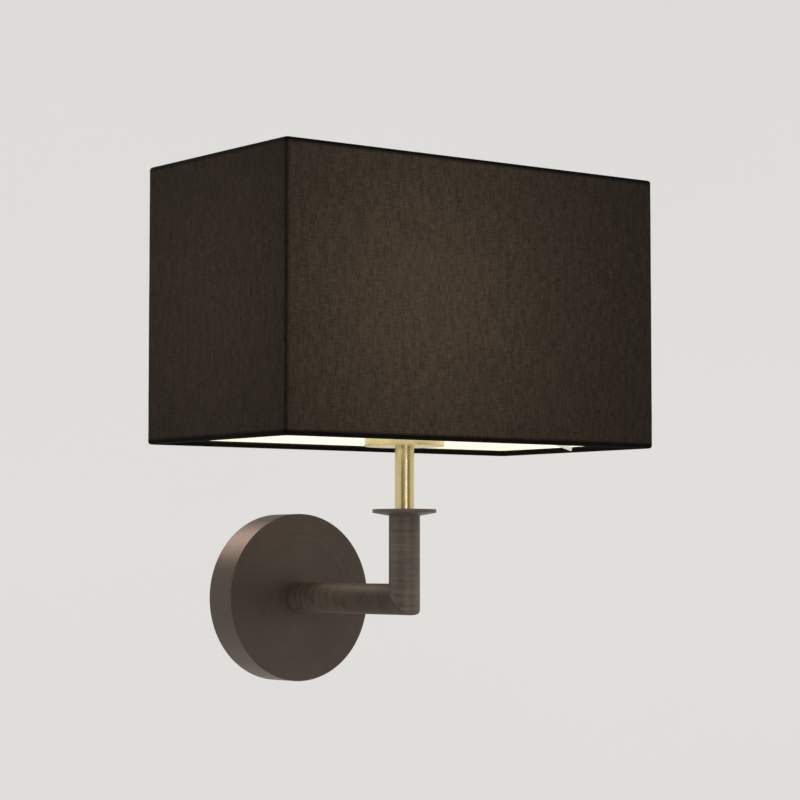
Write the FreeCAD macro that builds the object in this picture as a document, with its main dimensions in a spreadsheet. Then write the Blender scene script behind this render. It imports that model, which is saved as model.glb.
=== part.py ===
"""A wall light with a rectangular fabric shade, as a parametric FreeCAD document.

A round metal cover hides a bracket on the wall. A tube leaves the cover's middle, turns up at a
mitred elbow and ends in a flange. A hollow threaded rod clamps a sleeve, a cup and a lamp holder
on top of it. The holder carries the shade's hub, held down by a threaded ring, and the lamp.

The frame: X runs to the right as one faces the wall, Y into the wall and Z up. The origin is the
middle of the cover, on the wall. Lengths are in millimetres.
"""
import FreeCAD, Part
import Sketcher
import math
import os
import re

V = FreeCAD.Vector

# Every driving size, written once. The sheet of the document holds the same words.
SIZES = {
    # the round cover on the wall
    "plate_diameter": 110.0,
    "plate_depth": 25.0,
    "plate_wall": 2.0,
    "plate_face": 3.0,
    "plate_edge": 0.5,
    # the bracket behind it: a round plate with a strap whose ends are bent out as two tabs
    "bracket_diameter": 84.0,
    "bracket_thickness": 1.5,
    "bracket_strap": 22.0,
    "bracket_bend": 3.0,
    "bracket_gap": 0.5,
    "tab_margin": 4.5,
    "cable_entry": 14.0,
    "slot_spacing": 60.0,
    "slot_width": 4.6,
    "slot_length": 12.0,
    # the two set screws that hold the cover on the tabs
    "cover_screw_height": 12.5,
    "cover_screw_diameter": 4.0,
    "cover_screw_length": 6.0,
    "cover_screw_sink": 0.4,
    "tab_hole_gap": 0.2,
    "socket_flats": 2.0,
    "socket_depth": 2.0,
    # the terminal block, three poles side by side
    "block_drop": 24.0,
    "block_length": 18.0,
    "block_base": 8.5,
    "block_height": 13.0,
    "pole_pitch": 9.0,
    "pole_height": 4.5,
    "turret_diameter": 7.4,
    "insert_diameter": 5.0,
    "insert_bore": 2.9,
    "clamp_diameter": 2.6,
    "clamp_spread": 8.0,
    "fixing_diameter": 3.0,
    "screw_gap": 0.1,
    # the earth screw and its washer
    "earth_rise": 24.0,
    "earth_diameter": 4.0,
    "earth_head": 8.0,
    "earth_head_height": 2.6,
    "washer_diameter": 9.0,
    "washer_thickness": 1.0,
    # hollow threaded tube: the short nipple through the cover and the long rod up the stem
    "rod_diameter": 10.0,
    "rod_bore": 7.0,
    "thread_gap": 0.05,
    "nut_flats": 14.0,
    "nut_height": 4.0,
    "nipple_proud": 1.5,
    "big_washer_diameter": 20.0,
    "big_washer_thickness": 1.2,
    # the arm
    "arm_reach": 138.0,
    "tube_diameter": 19.5,
    "tube_wall": 2.0,
    "elbow_round": 3.0,
    "upright_rise": 52.2,
    "plug_length": 14.0,
    "plug_gap": 0.05,
    "rod_inset": 0.6,
    # the flange, the brass sleeve and the brass cup
    "flange_diameter": 40.0,
    "flange_rim": 2.2,
    "flange_cone": 1.8,
    "stem_diameter": 12.0,
    "stem_bore_gap": 0.15,
    "stem_length": 39.3,
    "cup_diameter": 50.0,
    "cup_wall": 1.5,
    "cup_height": 26.2,
    "cup_edge": 0.4,
    # the lamp holder
    "base_diameter": 38.0,
    "base_height": 21.0,
    "base_wall": 2.0,
    "base_floor": 3.0,
    "base_round": 5.0,
    "base_ledge": 1.5,
    "boss_diameter": 16.0,
    "boss_height": 6.0,
    "insert_rise": 12.0,
    "insert_thickness": 4.0,
    "spigot_gap": 0.1,
    "collar_diameter": 49.0,
    "collar_height": 3.0,
    "skirt_diameter": 40.0,
    "skirt_wall": 2.0,
    "skirt_height": 22.0,
    "shell_height": 24.0,
    "shell_wall": 0.6,
    "shell_room": 0.95,
    "strip_thickness": 0.5,
    "strip_width": 5.0,
    "strip_gap": 0.2,
    "strip_leg": 5.0,
    "tag_width": 4.0,
    "tag_rise": 5.0,
    "tag_place": 14.15,
    "tongue_foot": 10.5,
    "tongue_rise": 2.2,
    "tag_screw_diameter": 2.4,
    "tag_screw_head": 3.0,
    "tag_screw_head_height": 1.3,
    "tag_screw_drop": 1.9,
    # the lamp
    "cap_diameter": 26.3,
    "cap_gap": 0.3,
    "cap_length": 21.5,
    "cap_wall": 0.4,
    "cap_taper": 1.6,
    "lamp_gap": 0.3,
    "contact_diameter": 9.0,
    "contact_height": 1.4,
    "contact_crown": 1.0,
    "insulator_height": 3.6,
    "globe_diameter": 60.0,
    "globe_wall": 1.2,
    "globe_seat": 48.0,
    "collar_length": 32.0,
    "neck_wall": 1.2,
    "neck_ledge": 6.0,
    "board_diameter": 40.0,
    "board_thickness": 1.6,
    "chip_count": 10,
    "chip_circle": 28.0,
    "chip_size": 2.8,
    "chip_height": 0.7,
    # the ring that clamps the shade
    "ring_gap": 0.3,
    "ring_flange": 57.0,
    "ring_flange_height": 2.5,
    "ring_collar": 47.0,
    "ring_height": 10.0,
    "ring_ribs": 24,
    "rib_width": 2.4,
    "rib_depth": 1.4,
    # the shade
    "shade_width": 285.0,
    "shade_depth": 150.0,
    "shade_height": 172.0,
    "shade_corner": 2.5,
    "shade_drop": 29.6,
    "fabric_thickness": 0.5,
    "lining_thickness": 0.4,
    "cloth_gap": 0.05,
    "wire_diameter": 3.0,
    "hem_height": 3.8,
    "hub_diameter": 64.0,
    "hub_hole_gap": 1.2,
    "hub_thickness": 1.5,
    "spoke_diameter": 3.0,
    "notch_gap": 0.5,
    # the leads inside
    "lead_diameter": 2.0,
    "lead_offset": 1.5,
    "lead_gap": 0.1,
}

# What follows from the driving sizes, in the same words.
PLACES = {
    "plate_radius": "plate_diameter / 2",
    "plate_inner": "plate_radius - plate_wall",
    "plate_back": "plate_depth - plate_face",
    "tab_reach": "sqrt((plate_inner - bracket_gap)^2 - (bracket_strap / 2)^2)",
    "tab_end": "cover_screw_height + tab_margin",
    "bend_inner": "bracket_bend - bracket_thickness",
    "screw_outer": "plate_radius - cover_screw_sink",
    "pole_axis": "bracket_thickness + pole_height",
    "block_top": "bracket_thickness + block_height",
    "block_near": "block_drop - block_length / 2",
    "rod_radius": "rod_diameter / 2",
    "rod_hole": "rod_radius + thread_gap",
    "washer_foot": "plate_back - big_washer_thickness",
    "nut_foot": "washer_foot - nut_height",
    "nipple_foot": "nut_foot - nipple_proud",
    "nipple_end": "plate_depth + plug_length - rod_inset",
    "tube_radius": "tube_diameter / 2",
    "tube_bore": "tube_radius - tube_wall",
    "plug_radius": "tube_bore - plug_gap",
    "elbow_far": "arm_reach + tube_radius",
    "flange_radius": "flange_diameter / 2",
    "flange_top": "upright_rise + flange_cone + flange_rim",
    "cup_foot": "flange_top + stem_length",
    "cup_radius": "cup_diameter / 2",
    "base_foot": "cup_foot + cup_wall + nut_height",
    "base_inner": "base_diameter / 2 - base_wall",
    "rod_top": "base_foot + boss_height - rod_inset",
    "rod_foot": "upright_rise - plug_length + rod_inset",
    "insert_foot": "base_foot + insert_rise",
    "insert_top": "insert_foot + insert_thickness",
    "collar_foot": "base_foot + base_height",
    "hub_foot": "collar_foot + collar_height",
    "ring_foot": "hub_foot + hub_thickness",
    "skirt_radius": "skirt_diameter / 2",
    "spigot_radius": "base_inner - spigot_gap",
    "cap_radius": "cap_diameter / 2",
    "shell_bore": "cap_radius + cap_gap",
    "shell_radius": "shell_bore + shell_wall",
    "holder_bore": "shell_radius + shell_room",
    "lamp_foot": "insert_top + tongue_rise + lamp_gap",
    "cap_foot": "contact_height + insulator_height",
    "cap_top": "cap_foot + cap_length",
    "globe_radius": "globe_diameter / 2",
    "globe_foot": "cap_top + collar_length",
    "globe_mouth": "globe_seat / 2",
    "globe_middle": "globe_foot + sqrt(globe_radius^2 - globe_mouth^2)",
    "lamp_length": "globe_middle + globe_radius",
    "globe_inner": "globe_radius - globe_wall",
    "globe_inner_mouth": "sqrt(globe_inner^2 - (globe_middle - globe_foot)^2)",
    "shade_foot": "hub_foot - shade_drop",
    "shade_half": "shade_width / 2",
    "shade_half_depth": "shade_depth / 2",
    "lining_inset": "fabric_thickness + cloth_gap",
    "wire_radius": "wire_diameter / 2",
    "wire_inset": "lining_inset + lining_thickness + cloth_gap + wire_radius",
    "hem_inset": "wire_inset + wire_radius + cloth_gap",
    "wire_rise": "fabric_thickness + cloth_gap + wire_radius",
    "hub_radius": "hub_diameter / 2",
    "spoke_radius": "spoke_diameter / 2",
    "spoke_start": "ring_flange / 2 + ring_gap + spoke_radius / 2",
    "spoke_end": "shade_half - wire_inset",
    "spoke_fall": "shade_drop + hub_thickness / 2 - wire_rise",
    "spoke_run": "spoke_end - spoke_start",
    "spoke_length": "sqrt(spoke_run^2 + spoke_fall^2) - wire_radius - cloth_gap",
}

UPRIGHT = FreeCAD.Rotation()
OUT_OF_WALL = FreeCAD.Rotation(V(1, 0, 0), 90)  # a piece's own height stands out from the wall
ALONG_Y = FreeCAD.Rotation(V(1, 0, 0), -90)
TO_THE_LEFT = FreeCAD.Rotation(V(0, 1, 0), -90)

doc = FreeCAD.newDocument("WallLight")
sheet = doc.addObject("Spreadsheet::Sheet", "Sizes")
for row, (word, number) in enumerate(SIZES.items(), start=1):
    sheet.set(f"A{row}", word)
    sheet.set(f"B{row}", str(number))
    sheet.setAlias(f"B{row}", word)
doc.recompute()

subparts = []


# ---------------------------------------------------------------- words, sketches and features
def spelled(formula):
    """The formula with each word written out as a cell of the sheet."""
    def cell(match):
        word = match.group()
        if word in PLACES:
            return "(" + spelled(PLACES[word]) + ")"
        return "Sizes." + word if word in SIZES else word
    return re.sub(r"[a-z][a-z_]*", cell, formula)


def value(formula):
    return float(sheet.evalExpression(spelled(formula)))


def bind(piece, **sizes):
    """Bind properties to formulas, such as Length='plate_depth'."""
    for prop, formula in sizes.items():
        piece.setExpression(prop, spelled(formula))


def place(piece, at=("0", "0", "0"), turn=UPRIGHT):
    """Give the piece its placement: a turn, and a point bound to the sheet."""
    piece.Placement = FreeCAD.Placement(V(0, 0, 0), turn)
    for axis, formula in zip("xyz", at):
        if formula != "0":
            piece.setExpression(f"Placement.Base.{axis}", spelled(formula))


def keep(piece, name):
    """The piece is a sub-part: its label names its file."""
    piece.Label = name
    subparts.append(piece)
    return piece


def new_body(name, at=("0", "0", "0"), turn=UPRIGHT):
    body = doc.addObject("PartDesign::Body", name)
    body.AllowCompound = True
    place(body, at, turn)
    return keep(body, name)


def new_sketch(body, plane, lift="0"):
    """An empty sketch on one of the body's origin planes, lifted off it along its normal."""
    sketch = body.newObject("Sketcher::SketchObject", f"{body.Name}_sketch")
    support = [f for f in body.Origin.OriginFeatures if f.Role == f"{plane}_Plane"][0]
    sketch.AttachmentSupport = [(support, "")]
    sketch.MapMode = "FlatFace"
    if lift != "0":
        sketch.setExpression("AttachmentOffset.Base.z", spelled(lift))
    return sketch


def pin(sketch, edge, end, across, up):
    """Hold one point of the sketch at two formulas, measured from the sketch's origin."""
    for kind, axis, formula in (("DistanceX", -2, across), ("DistanceY", -1, up)):
        if formula == "0":
            sketch.addConstraint(Sketcher.Constraint("PointOnObject", edge, end, axis))
            continue
        number = sketch.addConstraint(
            Sketcher.Constraint(kind, -1, 1, edge, end, value(formula)))
        sketch.setExpression(f"Constraints[{number}]", spelled(formula))


def round_stretch(start, end, radius, side):
    """An arc from start to end, its centre to the left (side 1) or right (side -1) of the way."""
    chord = end - start
    left = V(-chord.y, chord.x, 0) / chord.Length
    centre = (start + end) / 2 + left * side * math.sqrt(max(radius**2 - chord.Length**2 / 4, 0))
    first, last = (start, end) if side > 0 else (end, start)
    angles = [math.atan2(p.y - centre.y, p.x - centre.x) for p in (first, last)]
    return Part.ArcOfCircle(Part.Circle(centre, V(0, 0, 1), radius), *angles)


def outline(sketch, corners):
    """Draw a closed outline. A corner is (across, up), and (across, up, radius, side) starts
    an arc to the next corner instead of a straight line."""
    points = [V(value(c[0]), value(c[1]), 0) for c in corners]
    base = sketch.GeometryCount
    ends = []
    for index, corner in enumerate(corners):
        start, end = points[index], points[(index + 1) % len(points)]
        if len(corner) == 2:
            sketch.addGeometry(Part.LineSegment(start, end), False)
            ends.append((1, 2))
        else:
            sketch.addGeometry(round_stretch(start, end, value(corner[2]), corner[3]), False)
            ends.append((1, 2) if corner[3] > 0 else (2, 1))
    for index, corner in enumerate(corners):
        after = (index + 1) % len(corners)
        sketch.addConstraint(Sketcher.Constraint(
            "Coincident", base + index, ends[index][1], base + after, ends[after][0]))
        pin(sketch, base + index, ends[index][0], corner[0], corner[1])
        if len(corner) > 2:
            number = sketch.addConstraint(
                Sketcher.Constraint("Radius", base + index, value(corner[2])))
            sketch.setExpression(f"Constraints[{number}]", spelled(corner[2]))
    return sketch


def circle(sketch, radius, across="0", up="0"):
    edge = sketch.addGeometry(
        Part.Circle(V(value(across), value(up), 0), V(0, 0, 1), value(radius)), False)
    pin(sketch, edge, 3, across, up)
    number = sketch.addConstraint(Sketcher.Constraint("Radius", edge, value(radius)))
    sketch.setExpression(f"Constraints[{number}]", spelled(radius))
    return sketch


def rectangle(sketch, left, right, low, high):
    return outline(sketch, [(left, low), (right, low), (right, high), (left, high)])


def slot(sketch, middle, half_length, half_width):
    """A slot along the sketch's first axis, each round end as two quarter turns."""
    straight = f"({half_length} - {half_width})"
    near, far = f"{middle} - {straight}", f"{middle} + {straight}"
    left, right = f"{middle} - {half_length}", f"{middle} + {half_length}"
    return outline(sketch, [
        (near, f"-{half_width}"), (far, f"-{half_width}", half_width, 1),
        (right, "0", half_width, 1), (far, half_width),
        (near, half_width, half_width, 1), (left, "0", half_width, 1)])


def round_rectangle(sketch, half_width, half_depth, radius):
    """A rectangle about the origin with four round corners."""
    x, y, r = f"({half_width})", f"({half_depth})", f"({radius})"
    return outline(sketch, [
        (f"-({x} - {r})", f"-{y}"), (f"{x} - {r}", f"-{y}", r, 1),
        (x, f"-({y} - {r})"), (x, f"{y} - {r}", r, 1),
        (f"{x} - {r}", y), (f"-({x} - {r})", y, r, 1),
        (f"-{x}", f"{y} - {r}"), (f"-{x}", f"-({y} - {r})", r, 1)])


def revolve(body, corners):
    """Turn an outline of (radius, height) corners about the body's own height."""
    sketch = outline(new_sketch(body, "XZ"), corners)
    feature = body.newObject("PartDesign::Revolution", f"{body.Name}_turned")
    feature.Profile = sketch
    feature.ReferenceAxis = (sketch, ["V_Axis"])
    feature.Angle = 360
    body.Tip = feature
    return feature


def pad(body, sketch, length, both_ways=False):
    feature = body.newObject("PartDesign::Pad", f"{body.Name}_pad")
    feature.Profile = sketch
    feature.SideType = "Symmetric" if both_ways else "One side"
    bind(feature, Length=length)
    body.Tip = feature
    return feature


def pocket(body, sketch, length, both_ways=False, upwards=False):
    """Cut the sketch out of the body, and make sure that it cuts something."""
    doc.recompute()
    before = body.Shape.Volume
    feature = body.newObject("PartDesign::Pocket", f"{body.Name}_pocket")
    feature.Profile = sketch
    feature.SideType = "Symmetric" if both_ways else "One side"
    feature.Reversed = upwards
    bind(feature, Length=length)
    body.Tip = feature
    doc.recompute()
    if body.Shape.Volume > before - 1e-6:
        raise ValueError(f"a pocket of {body.Label} cuts nothing")
    return feature


def solid(kind, name, at=("0", "0", "0"), turn=UPRIGHT, **sizes):
    """A primitive such as a Cylinder, its sizes bound to formulas."""
    piece = doc.addObject(f"Part::{kind}", name)
    place(piece, at, turn)
    bind(piece, **sizes)
    return piece


def cut(name, base, *tools):
    """The base without each of the tools."""
    for tool in tools:
        piece = doc.addObject("Part::Cut", name)
        piece.Base, piece.Tool = base, tool
        base = piece
    return base


def fuse(name, *pieces):
    piece = doc.addObject("Part::MultiFuse", name)
    piece.Shapes = list(pieces)
    return piece


def group(name, pieces, at=("0", "0", "0"), turn=UPRIGHT):
    """Like pieces that share one node and stay separate solids."""
    piece = doc.addObject("Part::Compound", name)
    piece.Links = list(pieces)
    place(piece, at, turn)
    return keep(piece, name)


# ---------------------------------------------------------------- behind the cover
def wall_bracket():
    """A stamped round plate with a strap across it, whose two ends are bent out as tabs."""
    body = new_body("wall_bracket", turn=OUT_OF_WALL)
    pad(body, circle(new_sketch(body, "XY"), "bracket_diameter / 2"), "bracket_thickness")
    reach, far = "tab_reach", "tab_reach - bracket_bend"
    inner = "tab_reach - bracket_thickness"
    strap = outline(new_sketch(body, "YZ"), [
        (reach, "tab_end"), (reach, "bracket_bend", "bracket_bend", -1),
        (far, "0"), (f"-({far})", "0", "bracket_bend", -1),
        (f"-({reach})", "bracket_bend"), (f"-({reach})", "tab_end"),
        (f"-({inner})", "tab_end"), (f"-({inner})", "bracket_bend", "bend_inner", 1),
        (f"-({far})", "bracket_thickness"), (far, "bracket_thickness", "bend_inner", 1),
        (inner, "bracket_bend"), (inner, "tab_end")])
    pad(body, strap, "bracket_strap", both_ways=True)
    holes = circle(new_sketch(body, "XY"), "cable_entry / 2")
    for side in ("-", ""):
        slot(holes, f"{side}slot_spacing / 2", "slot_length / 2", "slot_width / 2")
    circle(holes, "fixing_diameter / 2 + thread_gap", "pole_pitch / 2", "-block_drop")
    circle(holes, "earth_diameter / 2 + thread_gap", "0", "earth_rise")
    pocket(body, holes, "bracket_thickness * 3", both_ways=True)
    tab_holes = circle(new_sketch(body, "XZ"), "cover_screw_diameter / 2 + tab_hole_gap",
                       "0", "cover_screw_height")
    pocket(body, tab_holes, "plate_diameter", both_ways=True)


def backplate_cover():
    """A round cup, open to the wall, with a hole for the nipple and two tapped holes."""
    body = new_body("backplate_cover", turn=OUT_OF_WALL)
    revolve(body, [
        ("rod_hole", "plate_back"), ("plate_inner", "plate_back"), ("plate_inner", "0"),
        ("plate_radius", "0"),
        ("plate_radius", "plate_depth - plate_edge", "plate_edge", 1),
        ("plate_radius - plate_edge", "plate_depth"), ("rod_hole", "plate_depth")])
    holes = circle(new_sketch(body, "XZ"), "cover_screw_diameter / 2 + thread_gap",
                   "0", "cover_screw_height")
    pocket(body, holes, "plate_diameter + plate_wall", both_ways=True)


def cover_screws():
    """Two set screws with hexagon sockets, sunk in the cover's rim above and below."""
    pieces = []
    for index, (start, turn, mouth) in enumerate([
            ("screw_outer - cover_screw_length", ALONG_Y, "screw_outer - socket_depth"),
            ("-screw_outer", ALONG_Y, "-screw_outer")]):
        shank = solid("Cylinder", f"cover_screw_{index}", ("0", start, "cover_screw_height"), turn,
                      Radius="cover_screw_diameter / 2", Height="cover_screw_length")
        socket = solid("Prism", f"cover_socket_{index}", ("0", mouth, "cover_screw_height"), turn,
                       Circumradius="socket_flats / 2 / cos(30)", Height="socket_depth")
        pieces.append(cut(f"set_screw_{index}", shank, socket))
    group("cover_screws", pieces, turn=OUT_OF_WALL)


def pole_places():
    """The three poles, as words for their place across the block."""
    return ["-pole_pitch", "0", "pole_pitch"]


def clamp_places():
    """Where each pole has a clamp screw, along the block."""
    return ["-block_drop - clamp_spread / 2", "-block_drop + clamp_spread / 2"]


def terminal_block():
    """A moulded strip of three poles with a round turret over each clamp screw."""
    body = new_body("terminal_block", turn=OUT_OF_WALL)
    half, end = "pole_pitch * 3 / 2", "block_length / 2"
    foot = rectangle(new_sketch(body, "XY", "bracket_thickness"), f"-({half})", half,
                     f"-block_drop - {end}", f"-block_drop + {end}")
    pad(body, foot, "block_base")
    turrets = new_sketch(body, "XY", "bracket_thickness")
    wells = new_sketch(body, "XY", "block_top")
    for across in pole_places():
        for up in clamp_places():
            circle(turrets, "turret_diameter / 2", across, up)
            circle(wells, "clamp_diameter / 2 + screw_gap", across, up)
    pad(body, turrets, "block_height")
    pocket(body, wells, "block_height - pole_height")
    bores = new_sketch(body, "XZ", "block_drop - block_length")
    for across in pole_places():
        circle(bores, "insert_diameter / 2 + thread_gap", across, "pole_axis")
    pocket(body, bores, "block_length * 2", upwards=True)
    fixing = circle(new_sketch(body, "XY", "block_top"), "fixing_diameter / 2 + screw_gap",
                    "pole_pitch / 2", "-block_drop")
    pocket(body, fixing, "block_height * 2")


def terminal_inserts():
    """The brass tubes in the block, each tapped for two clamp screws."""
    pieces = []
    for index, across in enumerate(pole_places()):
        at = (across, "-block_drop - block_length / 2 + screw_gap", "pole_axis")
        tube = solid("Cylinder", f"insert_{index}", at, ALONG_Y,
                     Radius="insert_diameter / 2", Height="block_length - screw_gap * 2")
        bore = solid("Cylinder", f"insert_bore_{index}",
                     (across, "-block_drop - block_length", "pole_axis"), ALONG_Y,
                     Radius="insert_bore / 2", Height="block_length * 2")
        taps = [solid("Cylinder", f"insert_tap_{index}", (across, up, "pole_axis"),
                      Radius="clamp_diameter / 2 + thread_gap", Height="block_height")
                for up in clamp_places()]
        pieces.append(cut(f"terminal_insert_{index}", tube, bore, *taps))
    group("terminal_inserts", pieces, turn=OUT_OF_WALL)


def slotted_screw(name, at, shank, length, head, head_height, turn=UPRIGHT):
    """A cheese-head screw standing on its tip at the given place, with a slot in its head."""
    stem = solid("Cylinder", f"{name}_shank", Radius=f"({shank}) / 2", Height=length)
    cap = solid("Cylinder", f"{name}_head", ("0", "0", length),
                Radius=f"({head}) / 2", Height=head_height)
    slit_width = f"({shank}) / 4"
    slit = solid("Box", f"{name}_slit",
                 (f"-({head})", f"-({slit_width}) / 2", f"{length} + ({head_height}) / 2"),
                 Length=f"({head}) * 2", Width=slit_width, Height=head_height)
    piece = cut(name, fuse(f"{name}_whole", stem, cap), slit)
    place(piece, at, turn)
    return piece


def terminal_screws():
    """Six headless clamp screws, deep in the turrets."""
    pieces = []
    for across in pole_places():
        for up in clamp_places():
            index = len(pieces)
            rise = "pole_axis + insert_bore / 2"
            shank = solid("Cylinder", f"clamp_screw_{index}", (across, up, rise),
                          Radius="clamp_diameter / 2",
                          Height=f"block_top - clamp_diameter / 2 - ({rise})")
            slit = solid("Box", f"clamp_slit_{index}",
                         (f"{across} - clamp_diameter", f"{up} - clamp_diameter / 8",
                          "block_top - clamp_diameter"),
                         Length="clamp_diameter * 2", Width="clamp_diameter / 4",
                         Height="clamp_diameter")
            pieces.append(cut(f"terminal_clamp_{index}", shank, slit))
    group("terminal_screws", pieces, turn=OUT_OF_WALL)


def wall_side_screws():
    """The screw that holds the block on the bracket, and the earth screw with its washer."""
    length = "block_base + bracket_thickness"
    fixing = slotted_screw("fixing_screw", ("pole_pitch / 2", "-block_drop", "0"),
                           "fixing_diameter", length, "fixing_diameter + screw_gap",
                           "fixing_diameter / 2")
    group("terminal_fixing_screw", [fixing], turn=OUT_OF_WALL)
    washer = cut("washer", solid("Cylinder", "washer_disc", ("0", "earth_rise", "bracket_thickness"),
                                 Radius="washer_diameter / 2", Height="washer_thickness"),
                 solid("Cylinder", "washer_hole", ("0", "earth_rise", "0"),
                       Radius="earth_diameter / 2 + screw_gap", Height="bracket_thickness * 9"))
    group("earth_washer", [washer], turn=OUT_OF_WALL)
    earth = slotted_screw("earth_slotted_screw", ("0", "earth_rise", "0"), "earth_diameter",
                          "bracket_thickness + washer_thickness", "earth_head", "earth_head_height")
    group("earth_screw", [earth], turn=OUT_OF_WALL)


def threaded_tube(name, foot, top, at, turn):
    """A hollow threaded tube between two heights, its thread left plain."""
    body = new_body(name, at, turn)
    revolve(body, [("rod_bore / 2", foot), ("rod_radius", foot), ("rod_radius", top),
                   ("rod_bore / 2", top)])


def hexagon_nut(name, foot, at, turn):
    flats = solid("Prism", f"{name}_flats", ("0", "0", foot),
                  Circumradius="nut_flats / 2 / cos(30)", Height="nut_height")
    bore = solid("Cylinder", f"{name}_bore", ("0", "0", f"{foot} - nut_height"),
                 Radius="rod_hole", Height="nut_height * 3")
    group(name, [cut(f"{name}_piece", flats, bore)], at, turn)


def nipple_and_nut():
    """The nipple that carries the arm, with its nut and washer behind the cover's face."""
    threaded_tube("arm_nipple", "nipple_foot", "nipple_end", ("0", "0", "0"), OUT_OF_WALL)
    hexagon_nut("arm_fixing_nut", "nut_foot", ("0", "0", "0"), OUT_OF_WALL)
    body = new_body("arm_fixing_washer", turn=OUT_OF_WALL)
    revolve(body, [("rod_hole", "washer_foot"), ("big_washer_diameter / 2", "washer_foot"),
                   ("big_washer_diameter / 2", "plate_back"), ("rod_hole", "plate_back")])


# ---------------------------------------------------------------- the arm
def end_plug(name, foot, top, at, turn):
    """A tapped plug brazed into the end of a tube."""
    body = new_body(name, at, turn)
    revolve(body, [("rod_hole", foot), ("plug_radius", foot),
                   ("plug_radius", top), ("rod_hole", top)])


def round_off_elbow(body, across, up, toward_across, toward_up):
    """Round the outer corner of the elbow, drawn in the plane of both tubes. The corner lies at
    (across, up), and the two signs say which way the tubes lie from it."""
    near = f"{across} {toward_across} elbow_round"
    above = f"{up} {toward_up} elbow_round"
    turn = -1 if (toward_across == "-") == (toward_up == "-") else 1
    return outline(new_sketch(body, "YZ"), [
        (across, up), (near, up, "elbow_round", turn), (across, above)])


def arm_tube():
    """The level tube, from the cover to the mitre. Its own height runs along the arm."""
    body = new_body("arm_tube", turn=OUT_OF_WALL)
    ring = circle(new_sketch(body, "XY", "plate_depth"), "tube_radius")
    circle(ring, "tube_bore")
    pad(body, ring, "elbow_far - plate_depth")
    mitre = outline(new_sketch(body, "YZ"), [
        ("-tube_radius", "elbow_far"), ("tube_radius * 2", "arm_reach - tube_radius * 2"),
        ("tube_radius * 2", "elbow_far * 2"), ("-tube_radius", "elbow_far * 2")])
    pocket(body, mitre, "tube_diameter * 2", both_ways=True)
    pocket(body, round_off_elbow(body, "-tube_radius", "elbow_far", "+", "-"),
           "tube_diameter * 2", both_ways=True)
    end_plug("arm_end_plug", "plate_depth", "plate_depth + plug_length", ("0", "0", "0"),
             OUT_OF_WALL)


def upright_tube():
    """The upright tube, from the mitre to the flange."""
    at = ("0", "-arm_reach", "0")
    body = new_body("upright_tube", at)
    ring = circle(new_sketch(body, "XY", "-tube_radius"), "tube_radius")
    circle(ring, "tube_bore")
    pad(body, ring, "upright_rise + tube_radius")
    mitre = outline(new_sketch(body, "YZ"), [
        ("-tube_radius", "-tube_radius"), ("-tube_radius", "-tube_radius * 3"),
        ("tube_radius * 2", "-tube_radius * 3"), ("tube_radius * 2", "tube_radius * 2")])
    pocket(body, mitre, "tube_diameter * 2", both_ways=True)
    pocket(body, round_off_elbow(body, "-tube_radius", "-tube_radius", "+", "+"),
           "tube_diameter * 2", both_ways=True)
    end_plug("upright_end_plug", "upright_rise - plug_length", "upright_rise", at, UPRIGHT)


# ---------------------------------------------------------------- flange, sleeve, cup, rod
def stem():
    """What the rod clamps on top of the upright tube."""
    at = ("0", "-arm_reach", "0")
    flange = new_body("upright_flange", at)
    rim_foot = "upright_rise + flange_cone"
    revolve(flange, [("rod_hole", "upright_rise"), ("tube_radius", "upright_rise"),
                     ("flange_radius", rim_foot), ("flange_radius", "flange_top"),
                     ("rod_hole", "flange_top")])
    sleeve = new_body("stem_sleeve", at)
    revolve(sleeve, [("rod_radius + stem_bore_gap", "flange_top"),
                     ("stem_diameter / 2", "flange_top"), ("stem_diameter / 2", "cup_foot"),
                     ("rod_radius + stem_bore_gap", "cup_foot")])
    cup = new_body("holder_cup", at)
    cup_top = "cup_foot + cup_height"
    revolve(cup, [("rod_hole", "cup_foot"),
                  ("cup_radius - cup_edge", "cup_foot", "cup_edge", 1),
                  ("cup_radius", "cup_foot + cup_edge"), ("cup_radius", cup_top),
                  ("cup_radius - cup_wall", cup_top),
                  ("cup_radius - cup_wall", "cup_foot + cup_wall"),
                  ("rod_hole", "cup_foot + cup_wall")])
    hexagon_nut("holder_nut", "cup_foot + cup_wall", at, UPRIGHT)
    threaded_tube("stem_rod", "rod_foot", "rod_top", at, UPRIGHT)


# ---------------------------------------------------------------- the lamp holder
def holder_base():
    """The lower half of the holder: a round-bottomed cup with a tapped boss and a ledge."""
    body = new_body("holder_base", ("0", "-arm_reach", "base_foot"))
    outer = "base_diameter / 2"
    revolve(body, [
        ("rod_hole", "0"), (f"{outer} - base_round", "0", "base_round", 1),
        (outer, "base_round"), (outer, "base_height"), ("base_inner", "base_height"),
        ("base_inner", "insert_rise"), ("base_inner - base_ledge", "insert_rise"),
        ("base_inner - base_ledge", "base_floor"), ("boss_diameter / 2", "base_floor"),
        ("boss_diameter / 2", "boss_height"), ("rod_hole", "boss_height")])


def holder_body():
    """The upper half: a spigot in the base, a collar that the hub rests on, a threaded skirt."""
    body = new_body("holder_body", ("0", "-arm_reach", "collar_foot"))
    spigot = "insert_rise + insert_thickness - base_height"
    skirt_inner = "skirt_radius - skirt_wall"
    skirt_top = "collar_height + skirt_height"
    revolve(body, [
        ("holder_bore", spigot), ("spigot_radius", spigot), ("spigot_radius", "0"),
        ("collar_diameter / 2", "0"), ("collar_diameter / 2", "collar_height"),
        ("skirt_radius", "collar_height"), ("skirt_radius", skirt_top), (skirt_inner, skirt_top),
        (skirt_inner, "collar_height / 2"), ("holder_bore", "collar_height / 2")])


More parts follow.
